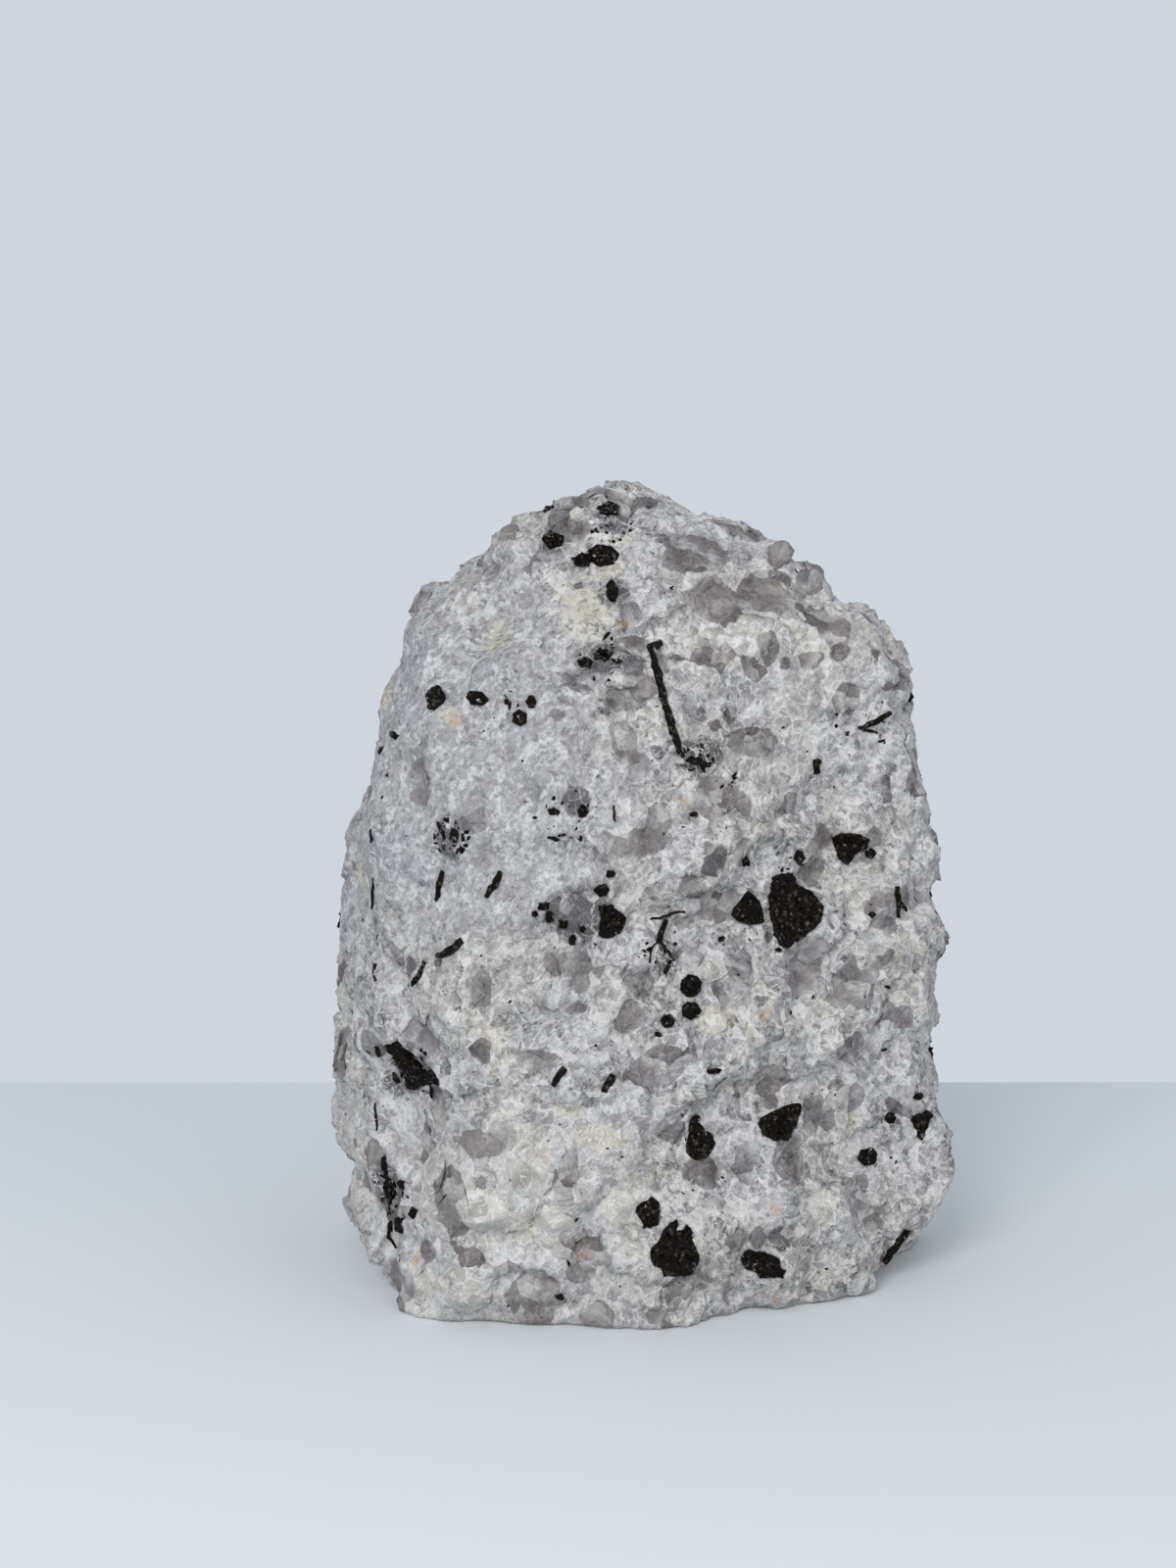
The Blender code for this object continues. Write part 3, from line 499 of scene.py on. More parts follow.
def broken_height(points, flats, random):
    """The height of a surface broken into flats, one tilted flat to each cell."""
    size, step, tilt, softer = flats
    number, offset = nearest_cells(warped(points, size, size), size, random)
    steps = random.uniform(-step, step, number.max() + 1)
    tilts = random.normal(0.0, tilt, (number.max() + 1, 3))
    height = steps[number] + (tilts[number] * offset).sum(axis=1)
    return height * (1.0 - softer * sugar_at(points))


def raise_points(mesh, points, height):
    """Puts a mesh's points out along its normals by a height that fades out near the base."""
    lift = fade(points[:, 2], 0.0, BASE_FADE)
    put_points(mesh, points + normals_of(mesh) * (height * lift)[:, None])


def patch_depth(points, patches):
    """How deep each point is in the nearest patch: 1 at its middle, 0 at its rim, and less outside."""
    depth = np.full(len(points), -2.0)
    for middle, radii in patches:
        away = np.linalg.norm((points - middle) / radii, axis=1)
        depth = np.maximum(depth, 1.0 - away)
    return depth


def cut_patches(patches, random):
    """Patches with flat cuts round them, so that they look like broken crystals."""
    made = []
    for middle, radii in patches:
        radii = radii * (1.0 - 0.25 * sugar_at(np.array([middle])))
        ways = unit_rows(random.normal(size=(PATCH_CUTS, 3)))
        made.append((middle, radii, ways / random.uniform(*CUT_REACH, PATCH_CUTS)[:, None]))
    return made


def cut_depth(points, patches):
    """How deep each point is in the nearest cut patch, in millimetres, and less than 0 outside."""
    depth = np.full(len(points), -3.0)
    for middle, radii, cuts in patches:
        near = np.flatnonzero(np.abs(points - middle).max(axis=1) < 2.0 * radii.max())
        away = (points[near] - middle) / radii
        over = np.maximum((away @ cuts.T).max(axis=1), CUT_ROUND * np.linalg.norm(away, axis=1))
        depth[near] = np.maximum(depth[near], (1.0 - over) * radii.min())
    return depth


def fade(lengths, start, reach):
    """0 at a start, even to 1 over a reach that goes up, or down if it is below 0."""
    return np.clip((lengths - start) / reach, 0.0, 1.0)


def sugar_at(points):
    """Where the rock is finer and sugary: the front's upper left, fading out to the right and below."""
    x, y, z = points.T
    across = fade(x, 1.5, -11.0) * fade(y, 10.0, -12.0)
    up = fade(z, 34.0, 16.0) * fade(z, 86.0, -16.0)
    return across * up


def calm_at(points):
    """Where the crystals are large and smooth: the lower left, and less so the upper right."""
    x, _, z = points.T
    low = fade(x, 3.0, -8.0) * fade(z, 27.0, -8.0)
    high = fade(x, 2.0, 10.0) * fade(z, 54.0, 12.0)
    return np.maximum(0.65 * low, 0.5 * high)


def front_patches(tree, places):
    """Patches on the front, from x, z, width and height."""
    made = []
    for x, z, width, height in places:
        point, _ = hit(tree, "front", (x, z))
        if point is not None:
            deep = max(width, height) / 2
            made.append((np.array(point), np.array((width / 2, deep, height / 2))))
    return made


def scattered_patches(points, normals, count, sizes, random):
    """Patches over the sides that the front's lists don't reach."""
    hidden = np.flatnonzero((normals[:, 1] > -0.25) & (points[:, 2] > 0.5))
    picked = random.choice(hidden, count)
    return [(points[i], random.uniform(*sizes) * random.uniform(0.7, 1.3, 3)) for i in picked]


def make_skin():
    """The stone's fine skin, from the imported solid, in even quads."""
    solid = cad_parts["stone"]
    skin = bpy.data.objects.new("stone_skin", solid.data.copy())
    bpy.context.scene.collection.objects.link(skin)
    spin = Euler(SKIN_TURN).to_matrix().to_4x4()
    skin.data.transform(spin)
    remesh = skin.modifiers.new("even", "REMESH")
    remesh.mode = "VOXEL"
    remesh.voxel_size = SKIN_VOXEL * MM
    smooth = skin.modifiers.new("smooth", "SMOOTH")
    smooth.iterations = SKIN_SMOOTHING
    smooth.factor = 0.5
    apply_modifiers(skin)
    skin.data.transform(spin.inverted())
    return skin


def lay_grains(points, finer, random):
    """Places and radii of grains that fill the surface, the largest laid first."""
    middles = np.empty((0, 3))
    radii = np.empty(0)
    picks = []
    for small, large, tries in GRAIN_CLASSES:
        for i in random.integers(0, len(points), tries):
            radius = random.uniform(small, large) * (1.0 - 0.4 * finer[i])
            away = np.linalg.norm(middles - points[i], axis=1)
            if (away > GRAIN_SPACING * (radii + radius)).all():
                middles = np.vstack([middles, points[i]])
                radii = np.append(radii, radius)
                picks.append(i)
    return np.array(picks), radii


def clipped(polygon, direction, limit):
    """The part of a flat polygon that lies on the near side of a line."""
    kept = []
    for (ax, ay), (bx, by) in zip(polygon, polygon[1:] + polygon[:1]):
        a = ax * direction[0] + ay * direction[1] - limit
        b = bx * direction[0] + by * direction[1] - limit
        if a <= 0:
            kept.append((ax, ay))
        if (a < 0) != (b < 0) and a != b:
            share = a / (a - b)
            kept.append((ax + (bx - ax) * share, ay + (by - ay) * share))
    return kept


def grain_outline(i, middles, radii, axes, tree):
    """The straight-sided outline of one grain, where it meets the grains round it."""
    across, up = axes
    reach = 1.25 * radii[i]
    angles = [k * math.pi / 4 + i for k in range(8)]
    polygon = [(reach * math.cos(angle), reach * math.sin(angle)) for angle in angles]
    for _, j, away in tree.find_n(middles[i], NEIGHBOURS):
        if j == i or away < 1e-6:
            continue
        apart = middles[j] - middles[i]
        flat = (float(apart @ across), float(apart @ up))
        length = math.hypot(*flat)
        if length < 0.5 * away:
            continue
        limit = (length**2 + radii[i] ** 2 - radii[j] ** 2) / (2 * length)
        polygon = clipped(polygon, (flat[0] / length, flat[1] / length), limit - 0.02)
        if len(polygon) < 3:
            return None
    return np.array(polygon)


def shard(outline, radius, random):
    """The outline with a corner or two struck off, so that it isn't a tidy polygon."""
    polygon = [tuple(p) for p in outline]
    for _ in range(random.integers(0, 3)):
        angle = random.uniform(0, 2 * math.pi)
        polygon = clipped(polygon, (math.cos(angle), math.sin(angle)), random.uniform(0.15, 0.6) * radius)
        if len(polygon) < 3:
            return None
    return np.array(polygon)


def grain_body(middle, normal, axes, outline, radius, lie, tree, random):
    """One grain: a low bevelled top that leans as the skin there does, and a point down in the stone."""
    across, up = axes
    step, tilt = lie
    count = len(outline)
    core = outline.mean(axis=0) + random.uniform(-0.2, 0.2, 2) * radius
    share = random.uniform(0.3, 0.8)
    inner = core + (outline - core) * share
    bulge = random.uniform(0.0, 0.10) * radius
    extra = random.normal(0.0, 0.08, 2)
    flat = np.vstack([outline, inner])
    height = step + flat @ (tilt @ across, tilt @ up)
    height[count:] += bulge + (inner - core) @ extra
    points = middle + np.outer(flat[:, 0], across) + np.outer(flat[:, 1], up)
    for k, point in enumerate(points):
        near, _, _, _ = tree.find_nearest(Vector(point))
        over = float((point - np.array(near)) @ normal)
        height[k] += min(over, MOST_PROUD) - over
    points = points + np.outer(height, normal)
    points = np.vstack([points, middle + core[0] * across + core[1] * up - GRAIN_DEPTH * radius * normal])
    faces = [tuple(range(count, 2 * count))]
    for k in range(count):
        j = (k + 1) % count
        faces.append((k, j, count + j, count + k))
        faces.append((j, k, 2 * count))
    return points, faces


def stands_clear(points, tree):
    """Whether any of a grain's top points is well off the skin, as where the skin turns sharply."""
    return any(tree.find_nearest(Vector(point))[3] > MOST_CLEAR for point in points)


def overlaps(middle, outline, axes, rooms):
    """Whether a grain reaches into the room of a crystal."""
    for place, room_axes, inverse, rim in rooms:
        away = middle - place
        if np.abs(away).max() > 1.5 * np.abs(rim).max() + 3.5:
            continue
        corners = away + np.outer(outline[:, 0], axes[0]) + np.outer(outline[:, 1], axes[1])
        corners = np.vstack([corners, away])
        if inside(rim, (corners @ inverse)[:, :2]).any():
            return True
        back = rim @ room_axes[:2] - away
        if inside(outline, np.stack([back @ axes[0], back @ axes[1]], axis=1)).any():
            return True
    return False


def near_grains(points, middles, radii, tree):
    """For each point, the grains nearest to it and how far it is inside or outside each."""
    found = np.array([[i for _, i, _ in tree.find_n(point, NEAR_GRAINS)] for point in points])
    away = np.linalg.norm(points[:, None] - middles[found], axis=2)
    return found, away**2 - radii[found] ** 2


def border_distance(found, power, first, middles):
    """How far inside a set of grains each point is, and less than 0 outside, to the flat border between."""
    mine = np.where(first[found], power, np.inf)
    other = np.where(first[found], np.inf, power)
    rows = np.arange(len(found))
    a, b = mine.argmin(axis=1), other.argmin(axis=1)
    apart = np.linalg.norm(middles[found[rows, a]] - middles[found[rows, b]], axis=1)
    gap = np.clip(other[rows, b], -99, 99) - np.clip(mine[rows, a], -99, 99)
    return np.clip(gap / (2 * np.maximum(apart, 0.5)), -3.0, 3.0)


class Grains:
    """The grains over the skin, and what each is."""

    def __init__(self, points, normals, tree, random):
        windows = front_patches(tree, WINDOWS) + scattered_patches(points, normals, *HIDDEN_WINDOWS, random)
        self.windows = cut_patches(windows, random)
        picks, self.radii = lay_grains(points, sugar_at(points), random)
        self.middles = points[picks]
        self.normals = normals[picks]
        count = len(picks)
        self.tone = random.uniform(0.0, 1.0, count)
        self.strays = (random.uniform(0.0, 1.0, count) < GLASSY_SHARE) & (sugar_at(self.middles) < 0.4)
        self.glassy = (cut_depth(self.middles, self.windows) > 0.0) | self.strays
        calm = 1.0 - 0.7 * sugar_at(self.middles)
        self.steps = random.uniform(-GRAIN_STEP, GRAIN_STEP, count) * self.radii * calm
        self.steps -= GLASS_SINK * self.glassy
        self.tilts = random.normal(0.0, GRAIN_TILT, (count, 3)) * calm[:, None]
        self.flat_share = FLAT_SHARE * (1.0 - 0.85 * sugar_at(self.middles))
        self.near = finder(self.middles)

    def shape_skin(self, mesh, random):
        """Breaks the skin along the grains, and gives it what the shader asks for."""
        points = points_of(mesh)
        found, power = near_grains(points, self.middles, self.radii, self.near)
        rows = np.arange(len(points))
        own = found[rows, power.argmin(axis=1)]
        strays = border_distance(found, power, self.strays, self.middles)
        glass = np.maximum(strays, cut_depth(points, self.windows))
        put_attributes(mesh, glass=glass, tone=self.tone[own], calm=calm_at(points))
        height = self.steps[own] + (self.tilts[own] * (points - self.middles[own])).sum(axis=1)
        raise_points(mesh, points, height + broken_height(points, FINE_FLATS, random))

    def body(self, i, tree, rooms, random):
        """The flat of one grain, or None where a crystal lies or where it would stand clear of the skin."""
        middle = self.middles[i]
        normal = Vector(self.normals[i]).normalized()
        across = normal.orthogonal().normalized()
        axes = np.array(across), np.array(normal.cross(across))
        outline = grain_outline(i, self.middles, self.radii, axes, self.near)
        if outline is not None:
            outline = shard(outline, self.radii[i], random)
        if outline is None or overlaps(middle, outline, axes, rooms):
            return None
        lie = (self.steps[i] + FLAT_PROUD, self.tilts[i])
        points, faces = grain_body(middle, np.array(normal), axes, outline, self.radii[i], lie, tree, random)
        return None if stands_clear(points[:-1], tree) else (points, faces)

    def flats(self, tree, rooms, keep_off, random):
        """The flats of the grains that show, as one piece of quartz and one of feldspar."""
        quartz, feldspar = [], []
        for i, middle in enumerate(self.middles):
            shows = self.glassy[i] or random.uniform(0.0, 1.0) < self.flat_share[i]
            _, _, clear = keep_off.find(middle)
            if middle[2] < 1.0 or not shows or clear < 0.8 * self.radii[i] + 0.4:
                continue
            body = self.body(i, tree, rooms, random)
            if body is not None:
                facts = (1.0 if self.strays[i] else -1.0, self.tone[i], -1.0)
                (quartz if self.glassy[i] else feldspar).append((*body, facts))
        for side, (x, z, width, height, proud, glassy, tone) in by_side(DOMES):
            points, faces, rim = dome(tree, side, (x, z), width, height, proud, random)
            calm = np.where(np.arange(len(points)) < rim, DOME_RIM, DOME_CALM)
            facts = (1.0 if glassy else -1.0, tone, calm)
            (quartz if glassy else feldspar).append((points, faces, facts))
        made = {"quartz_grains": quartz, "feldspar_grains": feldspar}
        return [grain_piece(name, bodies, self.windows) for name, bodies in made.items()]


def grain_piece(name, bodies, windows):
    """One joined mesh of grains, with each grain's facts on its points."""
    made = joined(name, [(points, faces) for points, faces, _ in bodies])
    facts = [[np.broadcast_to(fact, len(points)) for fact in facts] for points, _, facts in bodies]
    glass, tone, calm = (np.concatenate(column) for column in zip(*facts))
    points = points_of(made.data)
    small = calm < 0.0
    glass = np.where(small, np.maximum(glass, cut_depth(points, windows)), glass)
    put_attributes(made.data, glass=glass, tone=tone, calm=np.where(small, calm_at(points), calm))
    return made


def placed(middle, axes, flat, heights):
    """Points that lie across, up and out from a place on the stone."""
    across, up, normal = axes
    return [np.array(middle + across * a + up * b + normal * h) for (a, b), h in zip(flat, heights)]


def dome(tree, side, place, width, height, proud, random):
    """A large smooth-faced crystal with sides that go down into the stone, and its rim's point count."""
    middle, normal = seat(tree, side, place, 0.3 * min(width, height))
    across, up = view_axes(side, normal)
    corners = random.integers(6, 9)
    outline = outline_corners(width, height, corners, random.uniform(0, 60))
    outline *= random.uniform(0.86, 1.06, (corners, 1))
    rim = ragged(outline, DOME_SPACING, DOME_JAG, random)
    count = len(rim)
    leans = unit_rows(random.normal(size=(5, 2)))
    flat = np.concatenate([*(rim * share for share in DOME_RINGS), [[0.0, 0.0]]])
    rise = 1.0 - (flat / (width / 2, height / 2) @ leans.T * 0.55).max(axis=1) - 0.25 * np.hypot(*flat.T)
    rise = proud * np.clip(rise, 0.0, 1.0)
    rise[:count] = -DOME_TUCK
    axes = (across, up, normal)
    for k, spot in enumerate(placed(middle, axes, flat, np.zeros(len(flat)))):
        near, _, _, _ = tree.find_nearest(Vector(spot))
        rise[k] += float((np.array(near) - spot) @ np.array(normal))
    flat = np.concatenate([rim * 0.8, flat])
    rise = np.concatenate([np.full(count, -CRYSTAL_SINK), rise])
    return placed(middle, axes, flat, rise), ring_faces(count, len(DOME_RINGS) + 1), 2 * count


def ring_faces(count, rings):
    """Faces between rings of points, with a tip after the last ring and one face under the first."""
    faces = []
    for ring in range(rings - 1):
        low, high = ring * count, (ring + 1) * count
        for i in range(count):
            j = (i + 1) % count
            faces.append((low + i, low + j, high + j, high + i))
    inner = (rings - 1) * count
    faces.extend((inner + i, inner + (i + 1) % count, rings * count) for i in range(count))
    faces.append(tuple(reversed(range(count))))
    return faces


def pushed(points):
    """The points, with the pushes along x and up."""
    points = points.copy()
    for x, z, reach, along, up in PUSHES:
        away = np.hypot(points[:, 0] - x, points[:, 2] - z) / reach
        share = np.exp(-away**2)
        points[:, 0] += along * share
        points[:, 2] += up * share
    return points


def broaden_skin(mesh, random):
    """Pushes the outline into place, and breaks the skin into broad flats."""
    points = pushed(points_of(mesh))
    raise_points(mesh, points, broken_height(points, BROAD_FLATS, random))


def outline_corners(width, height, corners, turn):
    """The corners of a small crystal's end, fitted to its width and height."""
    angles = np.arange(corners) * 2 * math.pi / corners + math.radians(turn)
    points = np.stack([np.cos(angles), np.sin(angles)], axis=1)
    size = points.max(axis=0) - points.min(axis=0)
    return (points - points.min(axis=0)) / size * (width, height) - (width / 2, height / 2)


def turned(outline, degrees, scale):
    angle = math.radians(degrees)
    spin = np.array(((math.cos(angle), math.sin(angle)), (-math.sin(angle), math.cos(angle))))
    return np.array(outline) @ spin * scale


def ragged(outline, spacing, jag, random):
    """The outline with points every so often along it, each moved a little out or in."""
    points = []
    for start, end in zip(outline, np.roll(outline, -1, axis=0)):
        count = max(1, round(float(np.hypot(*(end - start))) / spacing))
        points.extend(start + (end - start) * i / count for i in range(count))
    points = np.array(points)
    ahead = np.roll(points, -1, axis=0) - np.roll(points, 1, axis=0)
    outward = np.stack([ahead[:, 1], -ahead[:, 0]], axis=1)
    outward /= np.linalg.norm(outward, axis=1)[:, None] + 1e-9
    return points + outward * random.uniform(-jag, jag, len(points))[:, None]


def crystal_end(middle, axes, outline, random):
    """One crystal seen end on: a ragged rim, a hackly broken end and sides that go down into the stone."""
    rim = ragged(outline, CRYSTAL_SPACING, CRYSTAL_JAG, random)
    count = len(rim)
    flat = np.concatenate([*(rim * share for share in CRYSTAL_RINGS), [[0.0, 0.0]]])
    spots = np.column_stack([flat, np.zeros(len(flat))])
    rough = CRYSTAL_ROUGH * min(1.0, np.ptp(outline, axis=0).max() / 2.5)
    height = broken_height(spots, (0.9, rough, 0.16, 0.0), random)
    height += broken_height(spots, (0.42, 0.5 * rough, 0.2, 0.0), random) + CRYSTAL_PROUD
    height[:count] -= 0.1
    flat = np.concatenate([rim, flat])
    height = np.concatenate([np.full(count, -CRYSTAL_SINK), height])
    return placed(middle, axes, flat, height), ring_faces(count, len(CRYSTAL_RINGS) + 1)


def needle(tree, side, route, thickness, random):
    """A ridged prism that follows the surface, thinner at both ends and half sunk."""
    route = np.array(route)
    lengths = np.concatenate([[0.0], np.cumsum(np.hypot(*np.diff(route, axis=0).T))])
    steps = max(4, round(lengths[-1] / NEEDLE_STEP))
    along = np.linspace(0.0, lengths[-1], steps + 1)
    spots = np.stack([np.interp(along, lengths, column) for column in route.T], axis=1)
    spots += random.normal(0.0, NEEDLE_STRAY, spots.shape)
    hits = [seat(tree, side, spot, 0.5) for spot in spots]
    knots = np.arange(0.0, lengths[-1] + 2 * NEEDLE_KNOT, NEEDLE_KNOT)
    girths = np.interp(along, knots, random.uniform(*NEEDLE_GIRTHS, len(knots)))
    middles = np.array([point for point, _ in hits])
    points, faces = [], []
    for i, (_, normal) in enumerate(hits):
        ahead = Vector(middles[min(i + 1, steps)] - middles[max(i - 1, 0)]).normalized()
        sideways = ahead.cross(normal).normalized()
        share = i / steps
        radius = thickness / 2 * (0.55 + 0.45 * math.sin(math.pi * min(max(share, 0.08), 0.92)) ** 0.6)
        for k in range(NEEDLE_SIDES):
            angle = 2 * math.pi * k / NEEDLE_SIDES
            reach = radius * girths[i] * random.uniform(*NEEDLE_CORNERS)
            offset = sideways * (math.cos(angle) * reach) + normal * (math.sin(angle) * reach + NEEDLE_LIFT)
            points.append(middles[i] + np.array(offset))
    for i in range(steps):
        for k in range(NEEDLE_SIDES):
            j = (k + 1) % NEEDLE_SIDES
            low, high = i * NEEDLE_SIDES, (i + 1) * NEEDLE_SIDES
            faces.append((low + k, low + j, high + j, high + k))
    faces.append(tuple(reversed(range(NEEDLE_SIDES))))
    faces.append(tuple(range(steps * NEEDLE_SIDES, (steps + 1) * NEEDLE_SIDES)))
    return points, faces


def splinter(point, normal, size, random):
    """A small angular chip that lies in the surface."""
    across = normal.orthogonal().normalized()
    up = normal.cross(across)
    long_way = random.uniform(0, math.pi)
    cos, sin = math.cos(long_way), math.sin(long_way)
    stretch = random.uniform(*SPLINTER_STRETCH)
    corners = []
    for k in range(SPLINTER_CORNERS):
        angle = 2 * math.pi * k / SPLINTER_CORNERS
        reach = size * random.uniform(*SPLINTER_REACH)
        a, b = math.cos(angle) * reach * stretch, math.sin(angle) * reach
        a, b = a * cos - b * sin, a * sin + b * cos
        corners.append(point + across * a + up * b)
    top = point + normal * (0.35 * size)
    bottom = point - normal * (0.9 * size)
    points = [np.array(c) for c in (*corners, top, bottom)]
    sides = [(k, (k + 1) % SPLINTER_CORNERS) for k in range(SPLINTER_CORNERS)]
    faces = [(a, b, SPLINTER_CORNERS) for a, b in sides] + [(b, a, SPLINTER_CORNERS + 1) for a, b in sides]
    return points, faces


def joined(name, parts):
    """One object of many small closed bodies."""
    points, faces = [], []
    for part_points, part_faces in parts:
        start = len(points)
        points.extend(part_points)
        faces.extend(tuple(start + i for i in face) for face in part_faces)
    made = mesh_object(name, points, faces)
    mesh = bmesh.new()
    mesh.from_mesh(made.data)
    bmesh.ops.recalc_face_normals(mesh, faces=mesh.faces)
    mesh.to_mesh(made.data)
    mesh.free()
    return made


def make_crystals(tree, random):
    """The crystals seen end on, and where the skin has to make room for each."""
    parts, rooms = [], []
    ends = [(side, row[:2], turned(*row[2:])) for side, row in by_side(OUTLINED)]
    ends += [(side, row[:2], outline_corners(*row[2:])) for side, row in by_side(SMALL)]
    for side, place, outline in ends:
        middle, normal = seat(tree, side, place, np.abs(outline).mean())
        axes = (*view_axes(side, normal), normal)
        parts.append(crystal_end(middle, axes, outline, random))
        rooms.append((np.array(middle), np.array(axes), np.linalg.inv(np.array(axes)), outline))
    return joined("tourmaline_crystals", parts), rooms


def inside(outline, spots):
    """Which flat spots lie inside an outline, by counting crossings."""
    within = np.zeros(len(spots), bool)
    for (ax, ay), (bx, by) in zip(outline, np.roll(outline, -1, axis=0)):
        crosses = (ay > spots[:, 1]) != (by > spots[:, 1])
        with np.errstate(divide="ignore", invalid="ignore"):
            at = ax + (spots[:, 1] - ay) / (by - ay) * (bx - ax)
        within ^= crosses & (spots[:, 0] < at)
    return within


def make_room(piece, rooms):
    """Presses a piece in under each crystal, so that the crystal lies level with the stone round it."""
    points = points_of(piece.data)
    for middle, axes, inverse, outline in rooms:
        near = np.flatnonzero(np.abs(points - middle).max(axis=1) < 1.5 * np.abs(outline).max() + 2.0)
        local = (points[near] - middle) @ inverse
        covered = inside(outline * ROOM_GROWTH, local[:, :2]) & (np.abs(local[:, 2]) < ROOM_REACH)
        drop = np.maximum(local[covered, 2] + ROOM_DROP, 0.0)
        points[near[covered]] -= np.outer(drop, axes[2])
    put_points(piece.data, points)


def needle_spots(tree):
    """Places along every needle, which the flats keep clear of."""
    spots = []
    for side, (_, *route) in by_side(NEEDLES):
        for start, end in zip(route, route[1:]):
            for share in (0.0, 0.25, 0.5, 0.75, 1.0):
                place = [a + (b - a) * share for a, b in zip(start, end)]
                point, _ = hit(tree, side, place)
                if point is not None:
                    spots.append(point)
    return finder(spots)


def make_needles(tree, random):
    parts = [needle(tree, side, route, girth, random) for side, (girth, *route) in by_side(NEEDLES)]
    return joined("tourmaline_needles", parts)


def make_splinters(skin, tree, random):
    """Black chips: swarms on the front, and strays all over."""
    parts = []
    for x, z, radius, count in SWARMS:
        for _ in range(count):
            angle, reach = random.uniform(0, 2 * math.pi), radius * math.sqrt(random.uniform(0, 1))
            point, normal = hit(tree, "front", (x + reach * math.cos(angle), z + reach * math.sin(angle)))
            if point is not None:
                parts.append(splinter(point, normal, random.uniform(*SWARM_SIZES), random))
    points, normals = points_of(skin.data), normals_of(skin.data)
    above = np.flatnonzero(points[:, 2] > 1.0)
    for i in random.choice(above, STRAY_SPLINTERS):
        size = STRAY_SIZE + STRAY_GROWTH * random.uniform(0, 1) ** 3
        parts.append(splinter(Vector(points[i]), Vector(normals[i]).normalized(), size, random))
    return joined("tourmaline_splinters", parts)


class Value:
    """A number that the shader works out, which goes into sums as a plain number does."""

    def __init__(self, shader, socket):
        self.shader = shader
        self.socket = socket

    def __add__(self, other):
        return self.shader.maths("ADD", self, other)

    def __sub__(self, other):
        return self.shader.maths("SUBTRACT", self, other)

    def __rsub__(self, other):
        return self.shader.maths("SUBTRACT", other, self)

    def __mul__(self, other):
        return self.shader.maths("MULTIPLY", self, other)

    def __abs__(self):
        return self.shader.maths("ABSOLUTE", self)

    __radd__ = __add__
    __rmul__ = __mul__


